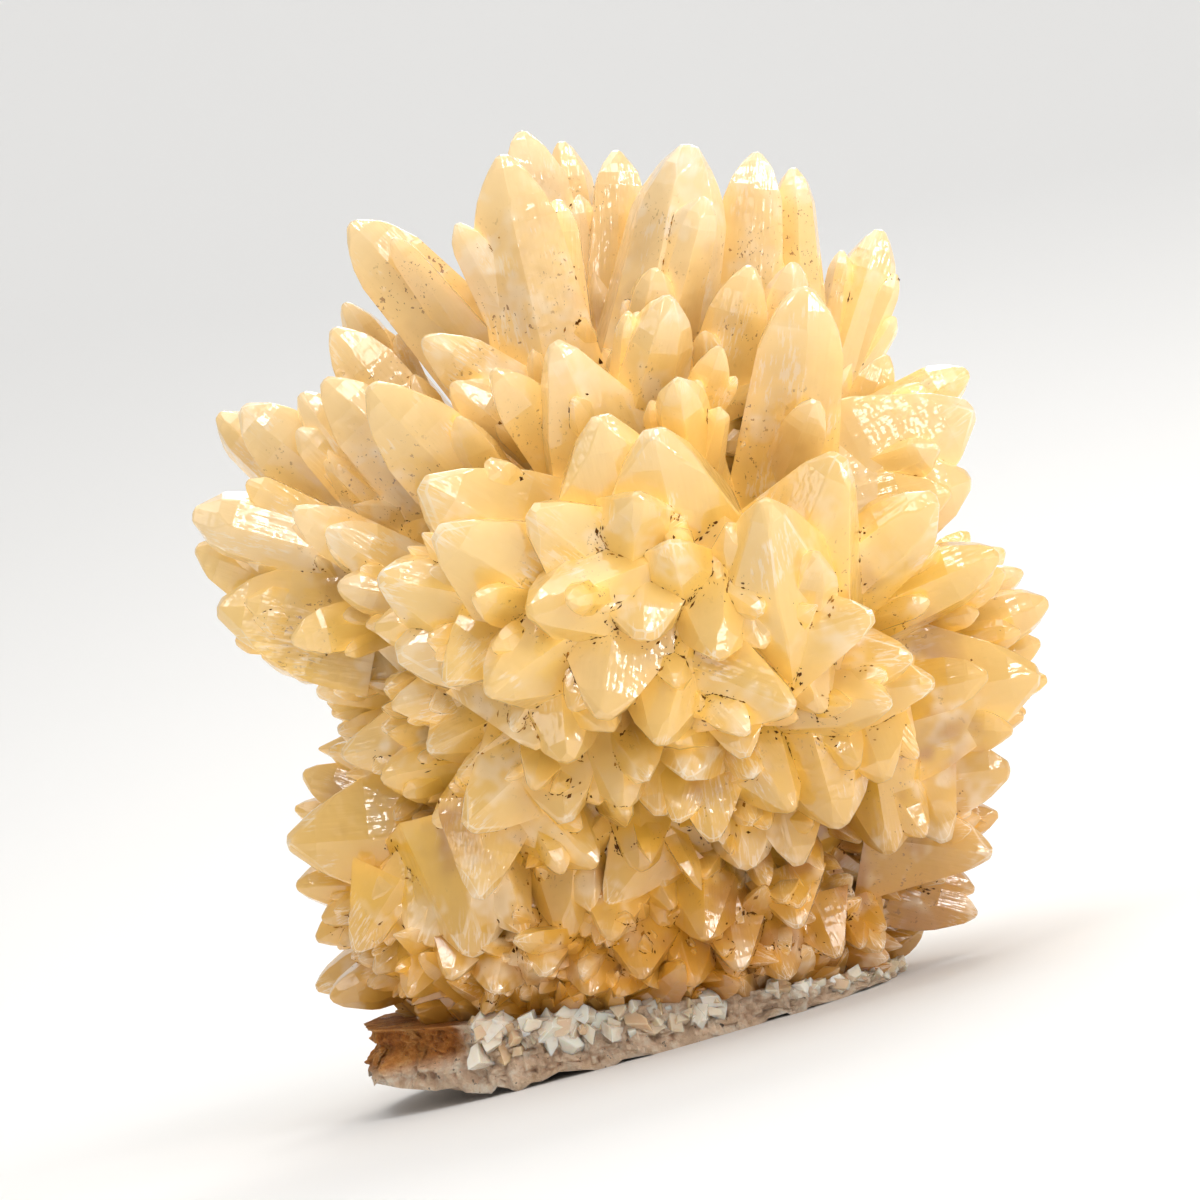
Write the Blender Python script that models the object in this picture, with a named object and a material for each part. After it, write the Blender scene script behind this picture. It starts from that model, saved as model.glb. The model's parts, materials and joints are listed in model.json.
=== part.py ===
"""A hand-sized cluster of dogtooth calcite on a thin wedge of pale matrix rock, at its real size.

It has two solids. calcite_crystals is every crystal, grown together with its neighbours into one body,
and matrix_wedge is the broken rock that they grew on. The specimen stands on the broken foot of the rock.
"""

import math
import random

import bmesh
import bpy
from mathutils import Matrix, Vector

MM = 0.001

# Sizes and places are in millimetres, in the growth frame: +X right, +Y to the rear, +Z along the crown.
# The specimen rests with that frame leaning to the right by REST_LEAN, on a foot through FOOT_POINT.
REST_LEAN = math.radians(15.2)
FOOT_POINT = Vector((-6.25, 0.0, -29.9))

# Calcite habit: azimuths of the six scalenohedral faces from an obtuse edge, and of the three end faces.
HALF_PAIR = 19.1
UPPER_FACES = [third + side for third in (0, 120, 240) for side in (-HALF_PAIR, HALF_PAIR)]
END_FACES = (60, 180, 300)

# How fast each set of faces widens, in millimetres of radius per millimetre below the tip.
END_SLOPE = 1.0
POINT_SLOPE = 0.44
SHAFT_SLOPE = 0.07

# A crystal's radius as a share of its width, and its thickness from front to rear as a share of its breadth.
WIDTH_TO_RADIUS = 1 / 2.29
THICKNESS = 0.72
# A crystal this many times as long as wide is a blade, and any other is a tooth.
BLADE_RATIO = 1.7
# Where the shaft faces begin, in radii, and how far the root runs on, in widths.
BLADE_SHAFT = 0.86
TOOTH_SHAFT = 1.5
BLADE_ROOT = 1.1
TOOTH_ROOT = 0.3
# A tip less blunt than this is a plain point, with no end faces.
LEAST_BLUNT = 0.3

# The massive calcite that the crystals are rooted in: centre, then half sizes, in the growth frame.
CORES = (
    ((2.5, 0.0, -6.5), (16.5, 13.5, 17.5)),
    ((-11.0, 0.0, 2.5), (7.5, 6.0, 6.0)),
    ((3.5, 0.0, 9.0), (11.5, 9.5, 7.5)),
    ((1.5, 0.5, -21.0), (15.0, 11.8, 7.5)),
)

# The crystals that fill the sides, the rear and the gaps: their height range in the growth frame, their
# widths at its two ends, how far they reach out of the core in widths, and how blunt they are.
GROWN_LOW = -26.0
GROWN_HIGH = 14.0
GROWN_WIDTH_LOW = 3.2
GROWN_WIDTH_HIGH = 7.4
WIDTH_SPREAD = (0.85, 1.15)
REACH_RANGE = (1.0, 1.4)
GROWN_BLUNT = (0.12, 0.4)
GROWN_TURN = 25
# Sites are tried this far apart, and one is free if it is this share of both widths from the next crystal.
SITE_STEP = 2.4
CLEARANCE = 0.4
WAIST = 0.4
ROOT_DEPTH = 0.5
# How far a direction strays from the core's outward normal, how much the high ones lift, and how much a low
# one lifts when its tip would else come within LOWEST_TIP of the rock's top.
SWAY = 0.22
RISE = 0.35
FOOT_RISE = 0.7
LOWEST_TIP = 0.3
SEED = 7

# The rock is a wedge, thick at the left. Its top falls to the right and the crystals end a hair above it.
WEDGE_TOP_AT_LEFT = 5.6
WEDGE_LEFT = -8.0
WEDGE_FALL = 0.145
SEAT_GAP = 0.3
CUTTER_SIZE = 120.0

# The wedge's outline on the ground seen from above, in the rest frame, clockwise from the front left.
WEDGE_OUTLINE = (
    (-7.6, -6.5), (-8.1, -1.0), (-7.0, 4.5), (-4.0, 8.8), (1.5, 11.4), (8.0, 12.2), (15.0, 11.6),
    (21.0, 9.2), (25.0, 4.8), (26.6, -1.5), (24.6, -7.0), (19.5, -10.2), (13.0, -11.6), (6.0, -12.0),
    (0.0, -11.4), (-4.8, -9.6),
)
UNDERCUT_FROM = 0.5
UNDERCUT_RISE = 0.27
WEDGE_CENTRE = 9.0
# Each ring of the rock's side: its size against the outline, and its height as a share of the top's.
WEDGE_RINGS = ((0.95, 0.0), (1.0, 0.35), (1.01, 0.7), (0.99, 1.0))
SIDE_ROUGHNESS = 0.015

# The crystals whose places are known, one to a line: tip x, tip z, root x, root z, width, root y, lean to the
# front in degrees, turn about its own axis in degrees, and how blunt the tip is, from 0 to 1.
REAR_CROWN = (
    (-5.0, 29.9, -2.8, 16.9, 4.9, 3.0, -2, 10, 0.34),
    (-2.5, 29.4, -0.5, 16.6, 3.6, 5.0, -4, 170, 0.34),
    (1.1, 28.5, 0.8, 15.9, 4.0, 2.0, 0, 20, 0.55),
    (-7.5, 23.8, -5.3, 16.2, 2.8, 8.0, -8, 0, 0.34),
    (17.9, 23.7, 14.2, 12.2, 4.3, 4.0, -3, 175, 0.4),
    (-15.8, 23.8, -6.2, 13.4, 5.5, 0.0, 0, 5, 0.4),
    (-16.3, 18.9, -11.2, 11.9, 3.0, 3.0, -4, 190, 0.34),
)
FRONT_CROWN = (
    (-6.1, 27.6, -2.9, 14.2, 6.1, -4.0, 8, -6, 0.34),
    (5.6, 28.3, 2.5, 11.9, 7.2, -4.0, 5, 172, 0.45),
    (9.8, 28.1, 8.9, 16.2, 4.3, -1.0, 2, 0, 0.35),
    (12.1, 27.2, 12.5, 15.9, 3.4, 0.0, 0, 185, 0.45),
)
SECOND_ROW = (
    (12.3, 19.0, 10.9, 7.8, 6.1, -9.0, 22, 12, 0.5),
    (11.9, 20.8, 10.5, 11.9, 4.4, -6.0, 10, 190, 0.4),
    (9.2, 20.5, 7.0, 11.9, 4.5, -7.0, 12, 0, 0.4),
    (4.2, 18.4, 2.0, 10.0, 5.1, -9.0, 28, 175, 0.45),
    (7.2, 15.2, 5.6, 10.6, 2.9, -11.0, 35, 0, 0.4),
    (-2.8, 15.6, 0.4, 7.5, 6.3, -9.0, 32, 15, 0.35),
    (4.5, 13.1, 5.6, 7.5, 3.7, -13.0, 45, 180, 0.5),
)
LEFT_SHOULDER = (
    (-11.0, 16.1, -2.5, 10.3, 4.3, -5.0, 12, 0, 0.35),
    (-9.1, 13.2, -2.5, 7.5, 3.8, -8.0, 16, 180, 0.35),
    (-6.5, 13.9, -0.9, 6.9, 4.3, -9.0, 28, 10, 0.35),
    (-14.1, 13.1, -5.9, 5.0, 6.5, -8.0, 18, -8, 0.4),
    (-17.1, 13.7, -9.7, 5.9, 5.4, -4.0, 10, 5, 0.4),
    (-18.6, 12.9, -11.9, 4.7, 4.3, -3.0, 6, 175, 0.4),
    (-22.4, 12.1, -13.4, 4.7, 5.6, -2.0, 4, 0, 0.5),
    (-24.3, 11.9, -18.1, 6.6, 3.7, 3.0, -5, 180, 0.5),
    (-16.8, 17.1, -10.3, 8.4, 4.6, 0.0, 5, 10, 0.35),
)
LEFT_ARM = (
    (-25.3, 5.4, -14.7, 2.5, 5.2, -4.0, 6, 178, 0.7),
    (-25.3, 3.3, -16.2, -0.3, 4.6, -2.0, 2, 0, 0.5),
    (-23.8, -0.4, -15.6, -1.9, 5.6, -4.0, 8, 12, 0.7),
    (-21.1, -3.3, -14.1, -3.4, 3.9, -3.0, 8, 180, 0.55),
    (-17.6, -5.8, -12.5, -4.4, 3.5, -4.0, 10, 0, 0.5),
    (-16.7, -7.1, -11.9, -5.6, 2.6, -3.0, 5, 180, 0.4),
    (-18.6, 5.5, -12.5, 1.9, 3.9, -7.0, 30, 0, 0.4),
    (-16.6, 4.4, -10.0, 0.6, 4.3, -8.0, 25, 170, 0.4),
    (-18.8, -2.5, -12.5, -1.2, 3.5, -7.0, 25, 10, 0.5),
    (-15.9, 0.9, -10.6, 0.0, 3.5, -9.0, 30, 180, 0.4),
)
LEFT_BREAST = (
    (-10.8, 7.1, -3.4, 2.2, 7.3, -12.0, 30, 15, 0.6),
    (-9.9, 4.1, -2.5, 0.0, 6.9, -14.0, 33, -10, 0.5),
    (-13.4, 1.4, -5.9, -0.3, 7.2, -13.0, 28, 180, 0.35),
    (-12.4, -3.1, -6.2, -2.5, 6.9, -12.0, 28, 10, 0.7),
    (-9.2, -5.0, -5.9, -1.6, 3.8, -15.0, 35, 0, 0.6),
    (-6.8, -5.6, -2.5, -2.5, 5.9, -16.0, 38, 175, 0.5),
    (-4.4, -0.8, 0.6, 0.6, 6.5, -16.5, 42, 190, 0.45),
    (-4.2, 5.4, 0.6, 1.9, 6.2, -15.0, 42, 0, 0.5),
    (-0.1, 11.0, 1.4, 3.4, 6.5, -13.0, 38, 8, 0.65),
    (3.0, 10.2, 4.5, 3.4, 6.6, -14.0, 40, -5, 0.7),
    (2.3, 6.2, 1.8, 2.5, 6.4, -15.0, 60, 180, 0.5),
    (4.0, 3.4, 5.0, 0.6, 3.8, -16.0, 62, 170, 0.5),
)
RIGHT_SHOULDER = (
    (14.2, 8.9, 10.6, -1.2, 7.8, -12.0, 28, -20, 0.4),
    (9.5, 6.1, 10.8, -1.6, 6.6, -15.0, 40, 180, 0.4),
    (20.2, 6.4, 12.5, 0.0, 6.0, -12.0, 16, 165, 0.55),
    (22.9, 7.5, 15.6, 5.0, 6.5, -7.0, 5, 0, 0.5),
    (23.1, 11.8, 15.0, 7.5, 6.4, -6.0, 8, 10, 0.7),
    (22.9, 14.2, 14.7, 9.1, 3.7, -3.0, 4, 180, 0.5),
    (18.0, 15.4, 15.6, 10.0, 3.0, -1.0, 0, 0, 0.4),
    (24.1, 2.9, 14.7, -1.2, 4.9, -10.0, 12, 175, 0.45),
    (24.8, 1.8, 17.5, -1.6, 3.4, -7.0, 6, 0, 0.5),
    (16.3, -0.8, 9.7, -2.5, 6.6, -15.0, 30, 0, 0.3),
    (18.7, -3.4, 13.1, -3.8, 4.3, -13.0, 30, 180, 0.4),
    (20.1, -4.9, 14.1, -5.3, 4.6, -12.0, 25, 0, 0.4),
    (17.4, -6.2, 12.5, -5.6, 4.3, -14.0, 33, 170, 0.4),
)
RIGHT_FLANK = (
    (27.1, -4.5, 16.6, -6.2, 7.4, -7.0, 8, 5, 0.6),
    (27.7, 0.0, 20.6, -2.8, 4.3, -5.0, 4, 178, 0.55),
    (25.4, 3.2, 20.6, 0.0, 2.6, 0.0, 0, 0, 0.45),
    (26.3, 1.8, 20.9, -0.6, 2.5, -3.0, 0, 180, 0.45),
    (23.6, 4.4, 20.0, 0.6, 2.6, 5.0, -10, 0, 0.4),
    (27.4, -2.6, 21.9, -4.1, 2.8, -3.0, 0, 0, 0.5),
    (27.9, -4.9, 21.9, -5.9, 2.8, -2.0, 0, 180, 0.5),
    (26.4, -7.2, 20.6, -7.2, 3.1, -3.0, 0, 0, 0.5),
    (25.5, -10.4, 17.5, -10.6, 6.5, -5.0, 6, 8, 0.5),
    (24.8, -13.2, 20.0, -14.4, 3.0, -3.0, 0, 180, 0.6),
    (24.3, -15.6, 18.1, -14.4, 5.2, -5.0, 8, 0, 0.45),
    (23.3, -18.0, 19.4, -16.9, 2.6, -3.0, 0, 180, 0.5),
    (23.5, -19.5, 18.8, -18.1, 2.9, -3.0, 0, 0, 0.5),
)
FRONT_MIDDLE = (
    (7.0, -3.7, 6.6, 0.9, 7.5, -16.0, 42, 172, 0.4),
    (2.6, -2.5, 2.5, 0.9, 7.8, -16.5, 50, 0, 0.5),
    (-1.9, -9.8, -2.4, -5.0, 7.2, -15.0, 35, 180, 0.35),
    (0.1, -7.1, 0.8, -2.5, 5.9, -16.5, 42, 0, 0.55),
    (3.4, -8.7, 4.2, -4.1, 6.0, -16.0, 38, 172, 0.4),
    (11.6, -6.4, 6.2, -4.1, 6.2, -15.5, 36, 10, 0.4),
    (13.2, -6.8, 11.6, -3.1, 4.4, -15.0, 30, 180, 0.4),
    (8.6, -9.4, 7.6, -5.6, 4.7, -15.0, 38, 0, 0.45),
    (5.1, -10.6, 5.6, -8.4, 6.4, -14.5, 55, 175, 0.4),
    (14.4, -13.9, 12.5, -7.8, 6.9, -12.0, 22, 180, 0.5),
    (17.0, -11.1, 15.6, -6.9, 6.4, -12.0, 26, 0, 0.4),
    (11.6, -12.7, 8.6, -8.4, 5.3, -13.0, 28, 180, 0.4),
    (6.8, -14.5, 6.2, -10.3, 4.7, -13.0, 32, 0, 0.4),
    (1.4, -12.6, 1.2, -8.4, 4.9, -14.0, 32, 175, 0.4),
    (3.6, -13.0, 3.4, -9.7, 5.2, -13.0, 35, 0, 0.5),
    (-2.1, -13.5, -2.5, -9.1, 6.4, -13.0, 30, 10, 0.45),
    (-0.1, -16.1, -3.0, -13.0, 4.9, -12.0, 26, 180, 0.4),
    (-8.1, -13.8, -4.4, -10.0, 6.9, -12.0, 28, 0, 0.45),
    (-10.5, -9.1, -6.9, -7.2, 4.9, -11.0, 26, 180, 0.4),
    (-3.4, -8.9, -5.0, -5.6, 4.9, -14.5, 35, 0, 0.45),
)
LEFT_FLANK = (
    (-15.9, -9.5, -10.0, -8.1, 4.6, -7.0, 12, 0, 0.45),
    (-13.4, -10.8, -9.1, -10.0, 4.3, -9.0, 22, 180, 0.45),
    (-12.6, -6.4, -9.1, -5.6, 3.6, -11.0, 28, 0, 0.45),
    (-10.2, -13.4, -6.2, -11.6, 4.0, -11.0, 20, 175, 0.45),
    (-19.5, -14.9, -12.2, -14.4, 6.2, -5.0, 10, 8, 0.65),
    (-18.9, -17.6, -13.4, -17.2, 3.9, -4.0, 8, 180, 0.5),
    (-18.6, -10.7, -14.1, -12.2, 3.1, -2.0, 0, 0, 0.55),
    (-19.2, -13.0, -15.0, -13.8, 2.7, 0.0, 0, 180, 0.5),
    (-16.4, -7.9, -12.2, -8.4, 2.8, -3.0, 0, 0, 0.45),
    (-16.9, -9.3, -12.5, -10.0, 2.8, -3.0, 0, 180, 0.4),
    (-14.0, -18.3, -10.6, -16.2, 3.5, -8.0, 18, 0, 0.5),
    (-11.3, -20.8, -10.0, -17.5, 3.2, -9.0, 20, 180, 0.55),
    (-14.9, -21.5, -13.1, -18.1, 3.5, -8.0, 16, 0, 0.5),
    (-10.6, -21.9, -9.7, -18.8, 4.4, -8.0, 16, 180, 0.45),
    (-17.6, -21.0, -13.8, -19.1, 3.2, -4.0, 8, 0, 0.5),
    (-17.2, -19.7, -13.4, -18.1, 2.9, -5.0, 5, 180, 0.45),
)
FRONT_LOWER = (
    (-7.2, -18.0, -6.8, -13.8, 4.0, -12.0, 26, 0, 0.6),
    (-7.6, -21.8, -7.8, -16.2, 7.8, -10.0, 22, 180, 0.4),
    (-2.0, -20.6, -1.8, -15.6, 5.9, -10.0, 24, 175, 0.4),
    (0.4, -18.4, 2.5, -15.3, 4.6, -11.0, 28, 0, 0.45),
    (8.8, -16.4, 8.4, -12.5, 6.1, -11.0, 30, 180, 0.45),
    (3.8, -19.8, 3.9, -15.9, 4.6, -10.0, 26, 178, 0.4),
    (11.9, -16.1, 11.2, -12.5, 4.8, -11.0, 28, 0, 0.5),
    (17.5, -15.6, 16.9, -11.9, 5.1, -9.0, 22, 180, 0.5),
    (21.2, -14.9, 19.4, -11.2, 4.8, -7.0, 18, 0, 0.5),
    (2.5, -16.4, 2.5, -12.8, 5.1, -11.0, 32, 180, 0.5),
)
FOOT_FRONT = (
    (-13.8, -22.8, -12.0, -21.0, 3.2, -6.5, 30, 0, 0.4),
    (-11.6, -24.0, -10.4, -22.0, 3.0, -8.5, 45, 180, 0.4),
    (-9.0, -22.8, -8.4, -20.8, 3.2, -9.5, 55, 0, 0.4),
    (-6.3, -23.6, -6.0, -21.6, 3.0, -10.0, 58, 180, 0.4),
    (-3.4, -22.5, -3.2, -20.5, 3.3, -10.5, 58, 0, 0.4),
    (-0.6, -23.6, -0.4, -21.4, 3.1, -10.5, 58, 180, 0.4),
    (2.5, -22.6, 2.4, -20.4, 3.3, -10.8, 58, 0, 0.4),
    (5.6, -23.1, 5.2, -21.0, 3.0, -10.5, 57, 180, 0.4),
    (8.4, -22.2, 8.0, -20.0, 3.3, -10.2, 55, 0, 0.4),
    (11.3, -22.8, 10.6, -20.8, 3.0, -9.6, 52, 180, 0.4),
    (14.4, -21.6, 13.4, -19.6, 3.2, -8.6, 46, 0, 0.4),
    (17.2, -21.4, 15.8, -19.8, 3.0, -7.0, 36, 180, 0.4),
    (0.6, -20.3, 0.9, -18.4, 3.4, -11.5, 58, 0, 0.4),
    (6.3, -20.3, 6.2, -18.2, 3.4, -11.3, 57, 180, 0.4),
    (11.9, -19.7, 11.5, -17.8, 3.3, -10.5, 52, 0, 0.4),
)
PLACED_ROWS = (
    REAR_CROWN, FRONT_CROWN, SECOND_ROW, LEFT_SHOULDER, LEFT_ARM, LEFT_BREAST, RIGHT_SHOULDER,
    RIGHT_FLANK, FRONT_MIDDLE, LEFT_FLANK, FRONT_LOWER, FOOT_FRONT,
)


def rest_matrix():
    """From the growth frame to the rest frame, in which the foot lies on the ground."""
    return Matrix.Rotation(REST_LEAN, 4, "Y") @ Matrix.Translation(-FOOT_POINT)


def is_blade(length, width):
    return length >= BLADE_RATIO * width


def face_plane(azimuth, slope, height, radius):
    """(point, normal) of a crystal face that stands at this radius at this height below the tip."""
    angle = math.radians(azimuth)
    normal = Vector((math.cos(angle), math.sin(angle), slope)).normalized()
    return Vector((radius * math.cos(angle), radius * math.sin(angle), -height)), normal


def habit(length, width, blunt):
    """The planes of one crystal with its tip at the origin and its axis along +Z."""
    radius = width * WIDTH_TO_RADIUS
    end_radius = blunt * radius if blunt >= LEAST_BLUNT else 0
    end_height = end_radius / END_SLOPE
    shaft_radius = radius * (BLADE_SHAFT if is_blade(length, width) else TOOTH_SHAFT)
    shaft_height = end_height + (shaft_radius - end_radius) / POINT_SLOPE
    planes = [face_plane(azimuth, POINT_SLOPE, end_height, end_radius) for azimuth in UPPER_FACES]
    if end_radius > 0:
        planes += [face_plane(azimuth, END_SLOPE, 0, 0) for azimuth in END_FACES]
    if shaft_height < length:
        planes += [face_plane(azimuth, SHAFT_SLOPE, shaft_height, shaft_radius) for azimuth in UPPER_FACES]
    return planes


def crystal_mesh(length, width, blunt):
    """A closed crystal in millimetres, cut from a block by its faces. Its root runs on past length."""
    total = length + width * (BLADE_ROOT if is_blade(length, width) else TOOTH_ROOT)
    bm = bmesh.new()
    block = Matrix.Translation((0, 0, -total / 2)) @ Matrix.Diagonal((4 * width, 4 * width, total, 1))
    bmesh.ops.create_cube(bm, size=1, matrix=block)
    for point, normal in habit(length, width, blunt):
        geometry = bm.verts[:] + bm.edges[:] + bm.faces[:]
        cut = bmesh.ops.bisect_plane(bm, geom=geometry, plane_co=point, plane_no=normal, clear_outer=True)
        rim = [item for item in cut["geom_cut"] if isinstance(item, bmesh.types.BMEdge)]
        if rim:
            bmesh.ops.edgeloop_fill(bm, edges=rim)
    bmesh.ops.remove_doubles(bm, verts=bm.verts, dist=0.01)
    bmesh.ops.scale(bm, vec=(THICKNESS, 1, 1), verts=bm.verts)
    bmesh.ops.recalc_face_normals(bm, faces=bm.faces)
    return bm


def crystal_pose(tip, root, turn):
    """Puts a crystal's tip at tip with its axis away from root and its broad side to the front."""
    axis = (tip - root).normalized()
    front = Vector((0, -1, 0))
    if abs(axis.dot(front)) > 0.95:
        front = Vector((0, 0, 1))
    front = (front - axis * axis.dot(front)).normalized()
    side = axis.cross(front)
    frame = Matrix((front, side, axis)).transposed().to_4x4()
    return Matrix.Translation(tip) @ frame @ Matrix.Rotation(math.radians(turn), 4, "Z")


def placed_crystals():
    """(tip, root, width, turn, blunt) of each crystal in the rows above."""
    for row in PLACED_ROWS:
        for tip_x, tip_z, root_x, root_z, width, depth, lean, turn, blunt in row:
            reach = math.hypot(tip_x - root_x, tip_z - root_z)
            tip_depth = depth - reach * math.tan(math.radians(lean))
            yield Vector((tip_x, tip_depth, tip_z)), Vector((root_x, depth, root_z)), width, turn, blunt


def segment_distance(point, start, end):
    """How far a point is from the line between start and end."""
    along = end - start
    share = max(0.0, min(1.0, (point - start).dot(along) / along.length_squared))
    return (point - start - along * share).length


def spiral_direction(index, count):
    """One of count directions spread evenly over a sphere."""
    z = 1 - (2 * index + 1) / count
    turn = index * math.pi * (3 - math.sqrt(5))
    flat = math.sqrt(1 - z * z)
    return Vector((flat * math.cos(turn), flat * math.sin(turn), z))


def inside(point, core):
    """Whether a point lies inside a core."""
    centre, half = core
    return sum(((p - c) / h) ** 2 for p, c, h in zip(point, centre, half)) < 1


def core_sites(core):
    """(site, outward normal), about SITE_STEP apart, all over the bare surface of a core."""
    centre, half = core
    area = 4 * math.pi * sum(half[i] * half[i - 1] for i in range(3)) / 3
    count = int(area / SITE_STEP ** 2)
    for index in range(count):
        way = spiral_direction(index, count)
        site = Vector(c + w * h for c, w, h in zip(centre, way, half))
        if not any(inside(site, other) for other in CORES if other is not core):
            yield site, Vector(w / h for w, h in zip(way, half)).normalized()


def grown_direction(rng, normal, height):
    sway = Vector(rng.uniform(-SWAY, SWAY) for _ in range(3))
    return (normal + sway + Vector((0, 0, RISE * max(0.0, height)))).normalized()


def grown_crystals(placed):
    """(tip, root, width, turn, blunt) of the crystals that fill what the placed ones leave bare."""
    rng = random.Random(SEED)
    standing = [(tip, root, width) for tip, root, width, _, _ in placed]
    for core in CORES:
        for site, normal in core_sites(core):
            height = (site.z - GROWN_LOW) / (GROWN_HIGH - GROWN_LOW)
            width = GROWN_WIDTH_LOW + height * (GROWN_WIDTH_HIGH - GROWN_WIDTH_LOW)
            width *= rng.uniform(*WIDTH_SPREAD)
            away = grown_direction(rng, normal, height)
            reach = width * rng.uniform(*REACH_RANGE)
            turn = rng.uniform(-GROWN_TURN, GROWN_TURN) + rng.choice((0, 180))
            blunt = rng.uniform(*GROWN_BLUNT)
            if seat_height(site + away * reach) < LOWEST_TIP:
                away = (away + Vector((0, 0, FOOT_RISE))).normalized()
            tip = site + away * reach
            waist = site.lerp(tip, WAIST)
            crowded = any(
                min(segment_distance(waist, a, b), segment_distance(tip, a, b)) < CLEARANCE * (width + w)
                for a, b, w in standing
            )
            if crowded or seat_height(tip) < LOWEST_TIP:
                continue
            root = site - away * ROOT_DEPTH * width
            standing.append((tip, root, width))
            yield tip, root, width, turn, blunt


def wedge_top(x):
    """Height of the rock's top above the ground, at this x of the rest frame."""
    return WEDGE_TOP_AT_LEFT - WEDGE_FALL * (x - WEDGE_LEFT)


def seat_height(point):
    """How far above the rock's top a point of the growth frame is."""
    rest = rest_matrix() @ point
    return rest.z - wedge_top(rest.x)


def bm_object(name, bm, collection):
    """An object from a bmesh in millimetres of the rest frame."""
    mesh = bpy.data.meshes.new(name)
    bm.to_mesh(mesh)
    bm.free()
    mesh.transform(Matrix.Scale(MM, 4))
    built = bpy.data.objects.new(name, mesh)
    collection.objects.link(built)
    return built


def helper_collection(name):
    helpers = bpy.data.collections.new(name)
    bpy.context.scene.collection.children.link(helpers)
    return helpers


def as_helper(built):
    built.hide_render = True
    built.display_type = "WIRE"
    return built


def core_lump(index, core, collection):
    """One body of massive calcite, as a faceted ellipsoid."""
    centre, half = core
    bm = bmesh.new()
    shape = rest_matrix() @ Matrix.Translation(centre) @ Matrix.Diagonal((*half, 1))
    bmesh.ops.create_icosphere(bm, subdivisions=2, radius=1, matrix=shape)
    return bm_object(f"core_{index}", bm, collection)


def crystal(index, tip, root, width, turn, blunt, collection):
    bm = crystal_mesh((tip - root).length, width, blunt)
    bmesh.ops.transform(bm, matrix=rest_matrix() @ crystal_pose(tip, root, turn), verts=bm.verts)
    return as_helper(bm_object(f"crystal_{index}", bm, collection))


def seat_cutter(collection):
    """A block whose top is the plane that the crystals end on, a hair above the rock's top."""
    bm = bmesh.new()
    bmesh.ops.create_cube(bm, size=CUTTER_SIZE, matrix=Matrix.Translation((0, 0, -CUTTER_SIZE / 2)))
    fall = Matrix.Rotation(math.atan(WEDGE_FALL), 4, "Y")
    lift = Matrix.Translation((0, 0, wedge_top(0) + SEAT_GAP))
    bmesh.ops.transform(bm, matrix=lift @ fall, verts=bm.verts)
    return as_helper(bm_object("seat_cutter", bm, collection))


def join(target, name, operation, **operand):
    boolean = target.modifiers.new(name, "BOOLEAN")
    boolean.operation = operation
    boolean.solver = "EXACT"
    for setting, value in operand.items():
        setattr(boolean, setting, value)


def island(start):
    """Every vertex that can be reached from this one along edges."""
    found = {start}
    front = [start]
    while front:
        vertex = front.pop()
        for edge in vertex.link_edges:
            other = edge.other_vert(vertex)
            if other not in found:
                found.add(other)
                front.append(other)
    return found


def apply_without_pockets(built):
    """Applies the modifiers and keeps the outer skin only, which fills pockets sealed in between crystals."""
    bpy.context.view_layer.update()
    graph = bpy.context.evaluated_depsgraph_get()
    bm = bmesh.new()
    bm.from_mesh(built.evaluated_get(graph).to_mesh())
    left = set(bm.verts)
    skins = []
    while left:
        skins.append(island(next(iter(left))))
        left -= skins[-1]
    outer = max(skins, key=len)
    bmesh.ops.delete(bm, geom=[v for v in bm.verts if v not in outer], context="VERTS")
    built.modifiers.clear()
    bm.to_mesh(built.data)
    bm.free()


def calcite_crystals(helpers, scene_collection):
    """Every crystal and the core bodies, joined in one solid and cut off where the rock begins."""
    lumps = [core_lump(index, core, helpers) for index, core in enumerate(CORES[1:], 1)]
    for lump in lumps:
        as_helper(lump)
    placed = list(placed_crystals())
    for index, row in enumerate(placed + list(grown_crystals(placed))):
        crystal(index, *row, helpers)
    cluster = core_lump(0, CORES[0], scene_collection)
    cluster.name = "calcite_crystals"
    cutter = seat_cutter(scene_collection)
    join(cluster, "crystals", "UNION", operand_type="COLLECTION", collection=helpers)
    join(cluster, "seat", "DIFFERENCE", object=cutter)
    apply_without_pockets(cluster)
    cluster.data.materials.append(honey_calcite())
    return cluster


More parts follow.
